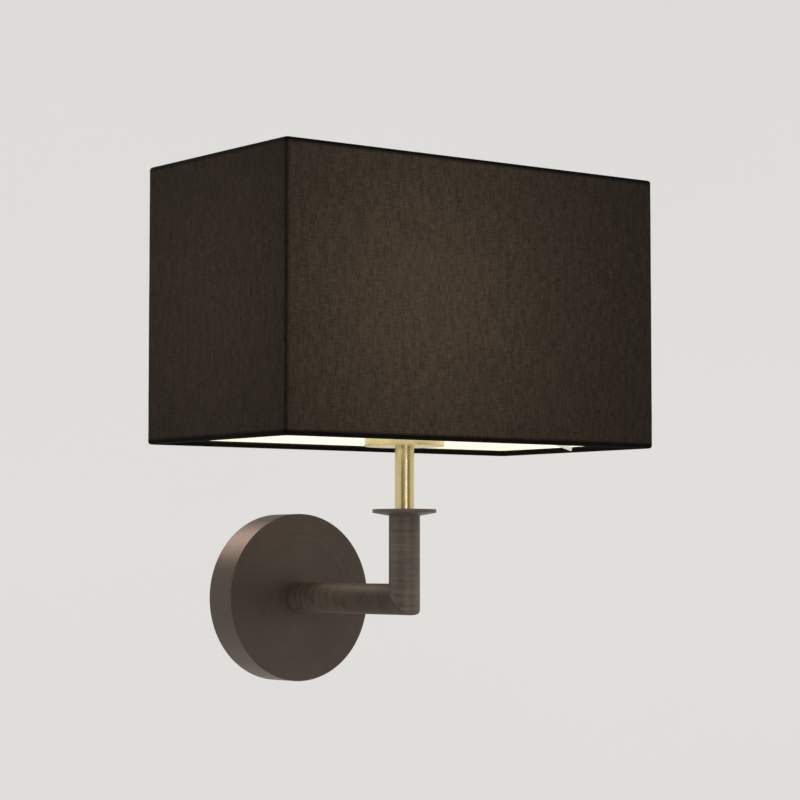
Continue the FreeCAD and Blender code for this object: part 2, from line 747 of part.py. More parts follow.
def holder_insert():
    """The disc that carries the contacts, slotted where their legs pass through."""
    body = new_body("holder_insert", ("0", "-arm_reach", "insert_foot"))
    pad(body, circle(new_sketch(body, "XY"), "spigot_radius"), "insert_thickness")
    slots = new_sketch(body, "XY", "insert_thickness")
    rectangle(slots, "-tongue_foot - strip_gap", "-tongue_foot + strip_thickness + strip_gap",
              "-strip_width / 2 - strip_gap", "strip_width / 2 + strip_gap")
    rectangle(slots, "tag_place - strip_gap", "tag_place + strip_thickness + strip_gap",
              "-tag_width / 2 - strip_gap", "tag_width / 2 + strip_gap")
    pocket(body, slots, "insert_thickness * 2")


def contacts():
    """The middle contact's sprung tongue, the side contact's tag and their two screws."""
    at = ("0", "-arm_reach", "insert_top")
    leg_foot = "-insert_thickness - strip_leg"
    tongue = new_body("centre_contact", at)
    pad(tongue, outline(new_sketch(tongue, "XZ"), [
        ("-tongue_foot", leg_foot), ("-tongue_foot + strip_thickness", leg_foot),
        ("-tongue_foot + strip_thickness", "0"), ("-tongue_foot / 2", "0"),
        ("-tongue_rise", "tongue_rise - strip_thickness"),
        ("tongue_rise", "tongue_rise - strip_thickness"), ("tongue_rise", "tongue_rise"),
        ("-tongue_rise - strip_thickness / 2", "tongue_rise"),
        ("-tongue_foot / 2 - strip_thickness / 2", "strip_thickness"),
        ("-tongue_foot", "strip_thickness")]), "strip_width", both_ways=True)
    tag = new_body("side_contact", at)
    tag_sketch = rectangle(new_sketch(tag, "XZ"), "tag_place", "tag_place + strip_thickness",
                           leg_foot, "tag_rise")
    pad(tag, tag_sketch, "tag_width", both_ways=True)
    screw_height = "insert_foot - tag_screw_drop"
    for leg in (tongue, tag):
        hole = circle(new_sketch(leg, "YZ"), "tag_screw_diameter / 2 + thread_gap",
                      "0", "-insert_thickness - tag_screw_drop")
        pocket(leg, hole, "base_diameter", both_ways=True)
    shank = "strip_thickness"
    pieces = [
        slotted_screw("tongue_screw", ("-tongue_foot + strip_thickness", "-arm_reach", screw_height),
                      "tag_screw_diameter", shank, "tag_screw_head", "tag_screw_head_height",
                      TO_THE_LEFT),
        slotted_screw("tag_screw", ("tag_place + strip_thickness", "-arm_reach", screw_height),
                      "tag_screw_diameter", shank, "tag_screw_head", "tag_screw_head_height",
                      TO_THE_LEFT)]
    group("holder_terminal_screws", pieces)


def screw_shell():
    """The brass shell that the lamp screws into."""
    body = new_body("holder_screw_shell", ("0", "-arm_reach", "insert_top"))
    revolve(body, [("shell_bore", "0"), ("shell_radius", "0"),
                   ("shell_radius", "shell_height"), ("shell_bore", "shell_height")])


# ---------------------------------------------------------------- the lamp
def lamp():
    """A screw-cap lamp: contact, insulator, cap, neck, light board and globe."""
    at = ("0", "-arm_reach", "lamp_foot")
    contact = "contact_diameter / 2"
    revolve(new_body("bulb_contact", at), [
        ("0", "0"), (f"{contact} - contact_crown", "0"), (contact, "contact_height / 2"),
        (contact, "contact_height"), ("0", "contact_height")])
    insulator = new_body("bulb_insulator", at)
    revolve(insulator, [("0", "contact_height"), (contact, "contact_height"),
                        ("cap_radius - cap_taper", "cap_foot"), ("0", "cap_foot")])
    cap = new_body("bulb_cap", at)
    inner = "cap_radius - cap_wall"
    revolve(cap, [("0", "cap_foot"), ("cap_radius - cap_taper", "cap_foot"),
                  ("cap_radius", "cap_foot + cap_taper"), ("cap_radius", "cap_top"),
                  (inner, "cap_top"), (inner, "cap_foot + cap_taper + cap_wall"),
                  ("0", "cap_foot + cap_taper + cap_wall")])
    neck = new_body("bulb_collar", at)
    middle = "cap_top + collar_length / 2"
    waist = "(cap_radius + globe_mouth) / 2 - neck_wall"
    revolve(neck, [
        ("cap_radius - neck_wall", "cap_top"), ("cap_radius + cap_wall", "cap_top"),
        (waist, middle), ("globe_mouth", "globe_foot"),
        ("globe_mouth - neck_ledge", "globe_foot"), (f"{waist} - neck_wall", middle)])
    board = new_body("bulb_light_board", at)
    pad(board, circle(new_sketch(board, "XY", "globe_foot"), "board_diameter / 2"), "board_thickness")
    chips = new_sketch(board, "XY", "globe_foot + board_thickness")
    rectangle(chips, "chip_circle / 2 - chip_size / 2", "chip_circle / 2 + chip_size / 2",
              "-chip_size / 2", "chip_size / 2")
    chip = pad(board, chips, "chip_height")
    doc.recompute()
    repeat(board, chip, "chip_count")
    globe = new_body("bulb_globe", at)
    revolve(globe, [
        ("globe_mouth", "globe_foot", "globe_radius", 1),
        ("globe_radius", "globe_middle", "globe_radius", 1),
        ("0", "lamp_length"), ("0", "lamp_length - globe_wall", "globe_inner", -1),
        ("globe_inner", "globe_middle", "globe_inner", -1), ("globe_inner_mouth", "globe_foot")])


def repeat(body, feature, count):
    """Repeat a feature round the body's own height."""
    pattern = body.newObject("PartDesign::PolarPattern", f"{body.Name}_pattern")
    pattern.Originals = [feature]
    pattern.Axis = ([f for f in body.Origin.OriginFeatures if f.Role == "Z_Axis"][0], [""])
    pattern.Angle = 360
    bind(pattern, Occurrences=count)
    body.Tip = pattern
    return pattern


# ---------------------------------------------------------------- the shade
def shade_ring():
    """The threaded ring over the hub: a flange, and a collar with grip ribs all round."""
    body = new_body("shade_ring", ("0", "-arm_reach", "ring_foot"))
    collar, inner = "ring_collar / 2", "skirt_radius + ring_gap"
    revolve(body, [
        (inner, "0"), ("ring_flange / 2", "0"), ("ring_flange / 2", "ring_flange_height"),
        (collar, "ring_flange_height"), (collar, "ring_height"), (inner, "ring_height")])
    rib_sketch = rectangle(
        new_sketch(body, "XY", "ring_flange_height"), f"{collar} - rib_depth",
        f"{collar} + rib_depth", "-rib_width / 2", "rib_width / 2")
    rib = pad(body, rib_sketch, "ring_height - ring_flange_height")
    doc.recompute()
    repeat(body, rib, "ring_ribs")


def shade_carrier():
    """The hub that sits on the holder, with two spokes that slope down to the bottom wire."""
    hub = solid("Cylinder", "hub_disc", Radius="hub_radius", Height="hub_thickness")
    hole = solid("Cylinder", "hub_hole", ("0", "0", "-hub_thickness"),
                 Radius="skirt_radius + hub_hole_gap", Height="hub_thickness * 3")
    spokes = []
    for side, sign in (("left", "-"), ("right", "")):
        spoke = solid("Cylinder", f"spoke_{side}", (f"{sign}spoke_start", "0", "hub_thickness / 2"),
                      FreeCAD.Rotation(V(0, -1 if sign else 1, 0), 90),
                      Radius="spoke_radius", Height="spoke_length")
        spoke.setExpression("Placement.Rotation.Angle",
                            spelled("90 + atan(spoke_fall / spoke_run) / 1deg"))
        spokes.append(spoke)
    whole = cut("hub_and_spokes", fuse("hub_with_spokes", hub, *spokes), hole)
    group("shade_carrier", [whole], ("0", "-arm_reach", "hub_foot"))


def frame_wire(name, height):
    """A wire bent to the shade's rectangle and welded into a closed loop."""
    body = new_body(name, ("0", "-arm_reach", height))
    x, y = "(shade_half - wire_inset)", "(shade_half_depth - wire_inset)"
    r = "(shade_corner + wire_radius)"
    path = outline(new_sketch(body, "XY"), [
        ("0", f"-{y}"), (f"{x} - {r}", f"-{y}", r, 1),
        (x, f"-({y} - {r})"), (x, f"{y} - {r}", r, 1),
        (f"{x} - {r}", y), (f"-({x} - {r})", y, r, 1),
        (f"-{x}", f"{y} - {r}"), (f"-{x}", f"-({y} - {r})", r, 1),
        (f"-({x} - {r})", f"-{y}")])
    section = circle(new_sketch(body, "YZ"), "wire_radius", f"-{y}", "0")
    doc.recompute()
    pipe = body.newObject("PartDesign::AdditivePipe", f"{name}_pipe")
    pipe.Profile = section
    pipe.Spine = (path, [f"Edge{i + 1}" for i in range(path.GeometryCount)])
    body.Tip = pipe


def fabric():
    """The outer cloth, turned in round both wires, with a notch where each spoke comes in."""
    body = new_body("shade_fabric", ("0", "-arm_reach", "shade_foot"))

    def ring(inset, depth, low, height):
        """A rectangular band whose outer face lies at an inset and that is so deep."""
        band = round_rectangle(new_sketch(body, "XY", low), f"shade_half - {inset}",
                               f"shade_half_depth - {inset}", "shade_corner")
        round_rectangle(band, f"shade_half - {inset} - {depth}",
                        f"shade_half_depth - {inset} - {depth}", "shade_corner")
        pad(body, band, height)

    ring("0", "fabric_thickness", "0", "shade_height")
    ring("0", "(hem_inset + fabric_thickness)", "0", "fabric_thickness")
    ring("0", "(hem_inset + fabric_thickness)", "shade_height - fabric_thickness", "fabric_thickness")
    ring("hem_inset", "fabric_thickness", "0", "hem_height")
    ring("hem_inset", "fabric_thickness", "shade_height - hem_height", "hem_height")
    notch = new_sketch(body, "XY", "fabric_thickness")
    for sign in ("-", ""):
        near = f"{sign}(shade_half - hem_inset - fabric_thickness * 2)"
        far = f"{sign}(shade_half - hem_inset + cloth_gap)"
        low, high = (far, near) if sign else (near, far)
        rectangle(notch, low, high, "-spoke_radius - notch_gap", "spoke_radius + notch_gap")
    pocket(body, notch, "hem_height * 2", upwards=True)


def lining():
    """The stiff translucent lining behind the cloth."""
    body = new_body("shade_lining", ("0", "-arm_reach", "shade_foot"))
    inner = "lining_inset + lining_thickness"
    band = round_rectangle(new_sketch(body, "XY", "lining_inset"), "shade_half - lining_inset",
                           "shade_half_depth - lining_inset", "shade_corner - cloth_gap")
    round_rectangle(band, f"shade_half - ({inner})", f"shade_half_depth - ({inner})", "shade_corner")
    pad(body, band, "shade_height - lining_inset * 2")


# ---------------------------------------------------------------- the leads inside
def lead(name, route):
    """One insulated lead: straight runs joined by tangent arcs, as large as the runs allow."""
    points = [V(*(value(word) for word in point)) for point in route]
    edges, start, radii = [], points[0], []
    for before, here, after in zip(points, points[1:], points[2:]):
        come, go = (here - before).normalize(), (after - here).normalize()
        half_turn = come.getAngle(go) / 2
        setback = 0.45 * min((here - before).Length, (after - here).Length)
        radii.append(setback / math.tan(half_turn))
        first, last = here - come * setback, here + go * setback
        bulge = (go - come).normalize() * (radii[-1] / math.cos(half_turn) - radii[-1])
        edges.append(Part.LineSegment(start, first).toShape())
        edges.append(Part.Arc(first, here + bulge, last).toShape())
        start = last
    edges.append(Part.LineSegment(start, points[-1]).toShape())
    path = Part.Wire(edges)
    radius = value("lead_diameter / 2")
    section = Part.Wire(Part.makeCircle(radius, points[0], points[1] - points[0]))
    piece = doc.addObject("Part::Feature", name)
    piece.Shape = path.makePipeShell([section], True, False)
    place(piece)
    keep(piece, name)
    ideal = math.pi * radius**2 * path.Length
    print(f"{name}: {path.Length:.1f} mm long, radii {', '.join(f'{r:.1f}' for r in radii)} mm,",
          f"volume {piece.Shape.Volume / ideal:.4f} of section times length")


def supply_lead(name, side, last_across, last_height):
    """From a pole of the block, through the nipple, the arm and the rod, to the holder."""
    offset = f"{side}lead_offset"
    lead(name, [
        (f"{side}pole_pitch", "-pole_axis", "-block_near - lead_diameter * 2"),
        (f"{side}pole_pitch", "-pole_axis - lead_diameter / 4", "-block_near + lead_diameter * 3"),
        (offset, "-nipple_foot + lead_diameter", "-lead_diameter / 4"),
        (offset, "-plate_depth - plug_length", "0"),
        (f"{side}lead_diameter", "-arm_reach * 2 / 3", "-lead_diameter"),
        (offset, "-arm_reach + tube_bore * 2", "-lead_diameter / 2"),
        (offset, "-arm_reach + lead_diameter / 2", "lead_diameter"),
        (offset, "-arm_reach - lead_diameter / 8", "tube_diameter"),
        (offset, "-arm_reach", "rod_foot + lead_diameter"),
        (offset, "-arm_reach + lead_diameter / 8", "(rod_foot + rod_top) / 2"),
        (offset, "-arm_reach", last_height),
        (f"({last_across}) / 2", "-arm_reach", last_height),
        (last_across, "-arm_reach", f"{last_height} - lead_diameter / 8")])


def leads():
    height = "insert_foot - tag_screw_drop - (tag_screw_head + lead_diameter) / 2 - lead_gap"
    supply_lead("live_lead", "-", "-tongue_foot + strip_thickness + lead_gap", height)
    supply_lead("neutral_lead", "", "tag_place - lead_gap", height)
    lead("earth_lead", [
        ("0", "-pole_axis", "-block_near - lead_diameter * 2"),
        ("-lead_diameter / 2", "-pole_axis", "-block_near + lead_diameter * 3"),
        ("-lead_diameter", "-bracket_thickness - lead_diameter * 3 / 2", "earth_rise / 4"),
        ("-lead_diameter / 4", "-bracket_thickness - lead_diameter",
         "earth_rise - washer_diameter / 2 - lead_gap")])


# ---------------------------------------------------------------- build, check and write
for make in (wall_bracket, backplate_cover, cover_screws, terminal_block, terminal_inserts,
             terminal_screws, wall_side_screws, nipple_and_nut, arm_tube, upright_tube, stem,
             holder_base, holder_body, holder_insert, contacts, screw_shell, lamp, shade_ring,
             shade_carrier, fabric, lining, leads):
    make()
frame_wire("bottom_wire", "shade_foot + wire_rise")
frame_wire("top_wire", "shade_foot + shade_height - wire_rise")
doc.recompute()

for thing in doc.Objects:
    if {"Invalid", "Error"} & set(thing.State):
        raise RuntimeError(f"{thing.Label} did not build: {thing.State}")
os.makedirs("parts", exist_ok=True)
for piece in subparts:
    if piece.Shape.isNull() or not piece.Shape.isValid() or not piece.Shape.Solids:
        raise RuntimeError(f"{piece.Label} has no valid solid")
    piece.Shape.exportStep(f"parts/{piece.Label}.step")
print(len(subparts), "sub-parts")
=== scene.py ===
# %% [markdown]
# # A lit wall light with a rectangular fabric shade
# The light has three kinds of surface: dark brown linen over a stiff white lining, brushed metal
# in bronze and in brass, and the plain plastic, ceramic and steel of the working parts inside. The
# measured model comes from the frame. This lesson gives it its finishes, and makes the pieces
# whose look needs more than a measured solid: the cloth, the lining, the screw threads and the
# lamp's glow.

# %% Load the frame
import math

import bmesh
import bpy
import numpy as np
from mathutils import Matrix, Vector


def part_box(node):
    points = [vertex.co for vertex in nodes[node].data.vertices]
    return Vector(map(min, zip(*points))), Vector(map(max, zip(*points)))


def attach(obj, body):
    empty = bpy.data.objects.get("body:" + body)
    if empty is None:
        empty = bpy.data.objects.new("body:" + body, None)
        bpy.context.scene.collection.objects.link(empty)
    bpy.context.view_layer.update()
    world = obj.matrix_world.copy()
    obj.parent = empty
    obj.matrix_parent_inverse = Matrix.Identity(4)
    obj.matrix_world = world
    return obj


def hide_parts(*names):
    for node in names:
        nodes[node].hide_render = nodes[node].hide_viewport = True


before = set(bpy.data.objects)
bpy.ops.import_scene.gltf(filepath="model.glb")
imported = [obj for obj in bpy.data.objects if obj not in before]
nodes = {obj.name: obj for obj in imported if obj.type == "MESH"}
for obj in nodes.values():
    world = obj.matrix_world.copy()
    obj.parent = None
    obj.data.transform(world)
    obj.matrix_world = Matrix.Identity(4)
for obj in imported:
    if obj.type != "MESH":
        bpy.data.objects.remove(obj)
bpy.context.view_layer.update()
MM = 0.001

# %% [markdown]
# Everything hangs on a few places that the frame already holds: the line of the stem, the middle
# of the lamp, and the box of the shade. Reading them here means that no size is written twice.

# %% Places read from the frame
stem_low, stem_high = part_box("stem_sleeve")
stem_x = (stem_low.x + stem_high.x) / 2
stem_y = (stem_low.y + stem_high.y) / 2
shade_low, shade_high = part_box("shade_fabric")
lamp_low, lamp_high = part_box("bulb_globe")
lamp_middle = (lamp_low + lamp_high) / 2
print("stem at", round(stem_x, 4), round(stem_y, 4), "lamp at", [round(v, 4) for v in lamp_middle])

# %% [markdown]
# ## The camera
# The photograph was taken from the left, from about the height of the cover, so it looks a little
# up into the shade. The place and the turn below were worked out from the corners of the shade and
# the rim of the cover, so the render lines up with the photograph. A long lens keeps upright edges
# nearly upright.

# %% Camera
LENS_PIXELS = 2516.05
IMAGE_PIXELS = 800
SENSOR = 36.0
CAMERA_PLACE = Vector((-956.15, -1389.29, 23.51)) * MM
CAMERA_PITCH = math.radians(3.677)
CAMERA_YAW = math.radians(37.284)

camera_data = bpy.data.cameras.new("photo_camera")
camera_data.sensor_width = SENSOR
camera_data.lens = LENS_PIXELS / IMAGE_PIXELS * SENSOR
camera = bpy.data.objects.new("photo_camera", camera_data)
camera.location = CAMERA_PLACE
camera.rotation_euler = (math.pi / 2 + CAMERA_PITCH, 0, -CAMERA_YAW)
bpy.context.scene.collection.objects.link(camera)
bpy.context.scene.camera = camera
print("lens", round(camera_data.lens, 1), "mm")

# %% [markdown]
# ## A helper for node trees
# Every finish below is a small tree of nodes. One function adds a node, sets what it is told and
# links what it is given, so that a material reads as a short list of steps.


# %% Node helper
def add(tree, kind, inputs=None, **settings):
    """Add a node. Inputs are numbers, colours or other nodes' outputs, by name or number."""
    made = tree.nodes.new(kind)
    for name, value in settings.items():
        setattr(made, name, value)
    for key, value in (inputs or {}).items():
        socket = made.inputs[key]
        if isinstance(value, bpy.types.NodeSocket):
            tree.links.new(value, socket)
        else:
            socket.default_value = value
    return made


def calc(tree, operation, a, b=0.0):
    """One step of arithmetic on numbers or outputs."""
    return add(tree, "ShaderNodeMath", {0: a, 1: b}, operation=operation).outputs[0]


def blend_colours(tree, share, a, b, mode="MIX"):
    """Colour b over colour a, by a share."""
    made = add(tree, "ShaderNodeMix", {0: share, 6: a, 7: b}, data_type="RGBA", blend_type=mode)
    return made.outputs[2]


def spread(tree, value, low, high, to_low, to_high):
    """Map a range onto another evenly, without passing its ends."""
    made = add(tree, "ShaderNodeMapRange", {
        "Value": value, "From Min": low, "From Max": high, "To Min": to_low, "To Max": to_high})
    return made.outputs[0]


def new_material(name, **settings):
    """A material with one shader, whose even values are set on the shader's own sockets."""
    made = bpy.data.materials.new(name)
    made.use_nodes = True
    tree = made.node_tree
    shader = next(n for n in tree.nodes if n.type == "BSDF_PRINCIPLED")
    for key, value in settings.items():
        shader.inputs[key.replace("_", " ")].default_value = value
    return made, tree, shader


def object_place(tree):
    """Where a point lies on the piece, in metres. All the pieces keep the frame's origin."""
    return add(tree, "ShaderNodeTexCoord").outputs["Object"]


def noise(tree, vector, scale, detail=2.0, roughness=0.5):
    """Smooth noise about 0.5. A scale is in cycles to the metre when the vector is in metres."""
    made = add(tree, "ShaderNodeTexNoise", {
        "Vector": vector, "Scale": scale, "Detail": detail, "Roughness": roughness})
    return made.outputs["Fac"]


# %% [markdown]
# ## Brushed metal
# A turned or brushed part shows fine lines that run round its axis. The pattern here lives in the
# coordinates of that axis: how far along it, how far from it, and the direction round it. Noise
# that changes fast along and outward, and slowly round, gives long thin scratches on the flat face
# and on the rim alike. The same lines change the gloss and, on the bronze, tilt the surface a
# little.
#
# Fine scratches draw a highlight out across themselves. So the shader's tangent runs round the
# axis, a rotation of a quarter turn lays the stretch across it, and on the cover's face the
# highlight becomes a soft fan. The brass is drawn tube, polished lengthwise, so its rotation is
# zero and its highlight spreads round it instead.
#
# Such bronze is often brass or steel with a dark patina under lacquer. A patina hides most of the
# metal, so it is part metal and part dull coat here. The arm's colour is a darker copy of the
# upright's, and it grows paler towards the cover and darker towards the mitre: painted shade and
# painted light that even out how the lamps and the cover light the arm.

# %% Brushed metal
LINE_TONES = (0.32, 0.68)  # the noise that gives the darkest and the lightest line
FINE_SHARE = 0.55  # of a streak; the rest comes from the coarse lines
COARSE = 0.16  # the coarse lines' scale beside the fine ones'
CLOUDS = 60.0  # to the metre, in the patina
AXIS_CORE = 0.0005  # nearer to the axis than this, the lines no longer close in
SCRATCH_DEPTH = 0.00008


def brushed(name, axis, centre, colours, gloss, grain=3800.0, mottle=0.5, metal=1.0, relief=0.1,
            stretch=0.35, rotation=0.25, wear=0.065, light_fade=None, specular=0.5):
    """Metal brushed round an axis, Y or Z, through a centre. Colours run from dark to light.
    A light fade (from, to, share at from, share at to) makes the colour paler or darker on the
    way along the axis, as painted light and shade."""
    made, tree, shader = new_material(
        name, Metallic=metal, Roughness=gloss, Anisotropic=stretch, Anisotropic_Rotation=rotation,
        Specular_IOR_Level=specular)
    place = add(tree, "ShaderNodeVectorMath", {0: object_place(tree), 1: centre},
                operation="SUBTRACT").outputs[0]
    split = add(tree, "ShaderNodeSeparateXYZ", {0: place}).outputs
    across, along, up = (split[0], split[1], split[2]) if axis == "Y" else (
        split[0], split[2], split[1])
    radius = calc(tree, "SQRT", calc(tree, "ADD", calc(tree, "MULTIPLY", across, across),
                                     calc(tree, "MULTIPLY", up, up)))
    safe = calc(tree, "MAXIMUM", radius, AXIS_CORE)
    lines = add(tree, "ShaderNodeCombineXYZ", {
        0: calc(tree, "MULTIPLY", calc(tree, "ADD", radius, along), grain),
        1: calc(tree, "DIVIDE", across, safe), 2: calc(tree, "DIVIDE", up, safe)}).outputs[0]
    fine = noise(tree, lines, 1.0, 3.0, 0.65)
    coarse = noise(tree, lines, COARSE, 2.0, 0.5)
    streak = calc(tree, "ADD", calc(tree, "MULTIPLY", fine, FINE_SHARE),
                  calc(tree, "MULTIPLY", coarse, 1 - FINE_SHARE))
    cloud = noise(tree, place, CLOUDS, 3.0, 0.6)
    tone = calc(tree, "ADD", calc(tree, "MULTIPLY", streak, 1 - mottle / 2),
                calc(tree, "MULTIPLY", cloud, mottle / 2))
    ramp = add(tree, "ShaderNodeValToRGB", {0: tone})
    for stop, at, shade in zip(ramp.color_ramp.elements, LINE_TONES, colours):
        stop.position, stop.color = at, (*shade, 1)
    colour = ramp.outputs[0]
    if light_fade:
        share = spread(tree, along, *light_fade)
        colour = blend_colours(tree, 1.0, colour, add(tree, "ShaderNodeCombineColor", {
            0: share, 1: share, 2: share}).outputs[0], "MULTIPLY")
    tree.links.new(colour, shader.inputs["Base Color"])
    tree.links.new(spread(tree, streak, 0.3, 0.7, gloss - wear, gloss + wear),
                   shader.inputs["Roughness"])
    if relief:
        bump = add(tree, "ShaderNodeBump", {
            "Height": fine, "Strength": relief, "Distance": SCRATCH_DEPTH})
        tree.links.new(bump.outputs[0], shader.inputs["Normal"])
    round_it = (0.0, 1.0, 0.0) if axis == "Y" else (0.0, 0.0, 1.0)
    tangent = add(tree, "ShaderNodeVectorMath", {0: round_it, 1: place}, operation="CROSS_PRODUCT")
    tree.links.new(tangent.outputs[0], shader.inputs["Tangent"])
    return made


BRONZE = ((0.070, 0.051, 0.041), (0.108, 0.081, 0.066))
OLIVE_BRONZE = ((0.044, 0.034, 0.026), (0.150, 0.120, 0.093))
# The arm's bronze is the upright's made darker: painted shade for the stronger light on the arm.
ARM_BRONZE_SHADED = ((0.032, 0.025, 0.019), (0.108, 0.086, 0.066))
BRASS = ((0.69, 0.57, 0.29), (0.73, 0.61, 0.32))
# Painted light along the arm: paler by the cover, which shades it, and darker at the mitre.
ARM_LIGHT_FADE = (-0.105, -0.030, 0.82, 1.55)  # from the mitre to the cover, and the shares there
arm_line = (0.0, 0.0, 0.0)
stem_line = (stem_x, stem_y, 0.0)
bronze_cover = brushed(
    "bronze_brushed_round_cover", "Y", arm_line, BRONZE, 0.45, metal=0.65, relief=0.06)
bronze_arm = brushed(
    "bronze_brushed_round_arm", "Y", arm_line, ARM_BRONZE_SHADED, 0.6, grain=2300.0, metal=0.1,
    stretch=0.6, light_fade=ARM_LIGHT_FADE, specular=0.15)
bronze_upright = brushed(
    "bronze_brushed_round_upright", "Z", stem_line, OLIVE_BRONZE, 0.5, grain=2300.0, metal=0.4,
    stretch=0.0)
satin_brass = brushed(
    "satin_brass_turned", "Z", stem_line, BRASS, 0.26, grain=900.0, mottle=0.0, relief=0.0,
    stretch=0.6, rotation=0.0, wear=0.0)
print("brushed finishes ready")

# %% [markdown]
# ## Plain finishes for the working parts
# What is inside is simpler, but never one flat colour: moulded plastic has a faint skin, ceramic
# has speckles, zinc plate has a cloudy spangle. One function gives a colour that drifts between
# two tones, a gloss that drifts with it, and a shallow bump.

# %% Plain finishes
SKIN_DEPTH = 0.0001  # of the bump in a moulded, plated or coated skin


def plain(name, dark, light, gloss, scale, bump=0.0, metal=0.0):
    """A finish between two tones. The scale is in cycles to the metre."""
    made, tree, shader = new_material(name, Metallic=metal, Roughness=gloss)
    drift = noise(tree, object_place(tree), scale, 4.0, 0.6)
    share = spread(tree, drift, 0.35, 0.65, 0.0, 1.0)
    colour = blend_colours(tree, share, (*dark, 1), (*light, 1))
    tree.links.new(colour, shader.inputs["Base Color"])
    tree.links.new(spread(tree, drift, 0.3, 0.7, gloss - 0.05, gloss + 0.05),
                   shader.inputs["Roughness"])
    if bump:
        relief = add(tree, "ShaderNodeBump", {
            "Height": drift, "Strength": bump, "Distance": SKIN_DEPTH})
        tree.links.new(relief.outputs[0], shader.inputs["Normal"])
    return made


zinc = plain(
    "zinc_plated_steel", (0.46, 0.47, 0.48), (0.58, 0.59, 0.60),
    0.34, 350.0, 0.03, metal=1.0)
raw_brass = plain(
    "machined_brass", (0.60, 0.43, 0.18), (0.72, 0.55, 0.27),
    0.28, 700.0, 0.08, metal=1.0)
nickel = plain(
    "nickel_plate", (0.55, 0.54, 0.51), (0.68, 0.67, 0.64),
    0.20, 500.0, 0.05, metal=1.0)
solder = plain("solder", (0.42, 0.42, 0.42), (0.60, 0.60, 0.60), 0.35, 1200.0, 0.3, metal=1.0)
nylon = plain("moulded_nylon", (0.70, 0.69, 0.64), (0.80, 0.79, 0.75), 0.45, 1500.0, 0.12)
black_phenolic = plain(
    "black_phenolic", (0.012, 0.012, 0.012), (0.022, 0.021, 0.020),
    0.30, 1800.0, 0.15)
ceramic = plain("steatite", (0.62, 0.60, 0.55), (0.76, 0.74, 0.69), 0.55, 2600.0, 0.25)
black_glass = plain("black_glass", (0.006, 0.006, 0.007), (0.012, 0.012, 0.013), 0.10, 400.0)
white_polymer = plain(
    "white_polycarbonate", (0.74, 0.74, 0.72), (0.80, 0.80, 0.78),
    0.35, 900.0, 0.05)
white_coat = plain("white_powder_coat", (0.82, 0.80, 0.74), (0.90, 0.88, 0.82), 0.40, 3200.0, 0.35)
board_mask = plain("white_solder_mask", (0.70, 0.70, 0.68), (0.78, 0.78, 0.76), 0.30, 800.0)
print("plain finishes ready")

# %% [markdown]
# The leads have silicone insulation, pressed round the strand in one colour. The earth lead is
# green with a yellow stripe that winds round it, so its colour comes from a slanting band of the
# coordinates along and across the lead.

# %% Lead insulation
brown_silicone = plain("brown_silicone", (0.10, 0.045, 0.02), (0.15, 0.07, 0.03), 0.5, 1200.0, 0.1)
blue_silicone = plain("blue_silicone", (0.02, 0.08, 0.30), (0.03, 0.11, 0.38), 0.5, 1200.0, 0.1)
GROUND_SHARE = 0.62  # of each turn of the stripe that stays green


def striped_silicone(name, ground, stripe, pitch):
    """Insulation with a stripe that comes round once in each pitch."""
    made, tree, shader = new_material(name, Roughness=0.5)
    split = add(tree, "ShaderNodeSeparateXYZ", {0: object_place(tree)}).outputs
    turn = calc(tree, "ADD", calc(tree, "MULTIPLY", split[2], 1 / pitch),
                calc(tree, "MULTIPLY", split[0], 0.5 / pitch))
    band = calc(tree, "GREATER_THAN", calc(tree, "FRACT", turn), GROUND_SHARE)
    tree.links.new(blend_colours(tree, band, (*ground, 1), (*stripe, 1)),
                   shader.inputs["Base Color"])
    relief = add(tree, "ShaderNodeBump", {
        "Height": noise(tree, object_place(tree), 1500.0), "Strength": 0.1,
        "Distance": SKIN_DEPTH})
    tree.links.new(relief.outputs[0], shader.inputs["Normal"])
    return made


earth_silicone = striped_silicone(
    "green_yellow_silicone", (0.03, 0.20, 0.04), (0.70, 0.55, 0.04), 0.007)
print("lead insulation ready")

# %% [markdown]
# ## Dressing the measured parts
# A measured part keeps its shape and takes a finish by name. The list is the whole bill of
# materials, so a missing piece would show up as a part with no finish.

# %% Finishes by part
FINISHES = {
    bronze_cover: ["backplate_cover", "cover_screws"],
    bronze_arm: ["arm_tube"],
    bronze_upright: ["upright_tube", "upright_flange"],
    satin_brass: ["stem_sleeve", "holder_cup"],
    zinc: ["wall_bracket", "terminal_screws", "terminal_fixing_screw", "arm_nipple",
           "arm_fixing_nut", "arm_fixing_washer", "holder_nut", "stem_rod",
           "holder_terminal_screws"],
    raw_brass: ["terminal_inserts", "earth_washer", "earth_screw", "arm_end_plug",
                "upright_end_plug", "centre_contact", "side_contact", "holder_screw_shell"],
    nylon: ["terminal_block"],
    black_phenolic: ["holder_base", "holder_body", "shade_ring"],
    ceramic: ["holder_insert"],
    nickel: ["bulb_cap"],
    solder: ["bulb_contact"],
    black_glass: ["bulb_insulator"],
    white_polymer: ["bulb_collar"],
    board_mask: ["bulb_light_board"],
    white_coat: ["shade_carrier", "bottom_wire", "top_wire"],
    brown_silicone: ["live_lead"],
    blue_silicone: ["neutral_lead"],
    earth_silicone: ["earth_lead"],
}


def dress(piece, finish):
    """Give a piece one finish in place of any that it has."""
    piece.data.materials.clear()
    piece.data.materials.append(finish)


for finish, names in FINISHES.items():
    for name in names:
        dress(nodes[name], finish)
print(sum(len(names) for names in FINISHES.values()), "measured parts dressed")

# %% [markdown]
# ## The shade's outline
# Both the cloth and the lining follow the same path: a rectangle with small round corners. A
# helper walks that path and gives evenly spaced stations, each with its place, its outward
# direction and how far along the path it lies. The distance along becomes the cloth's own U
# coordinate.

# %% Path round the shade
STRAIGHT_STEP = 4.0 * MM
CORNER_STEPS = 6


def direction(degrees):
    """A unit vector in the plan, anticlockwise from the right."""
    return Vector((math.cos(math.radians(degrees)), math.sin(math.radians(degrees))))


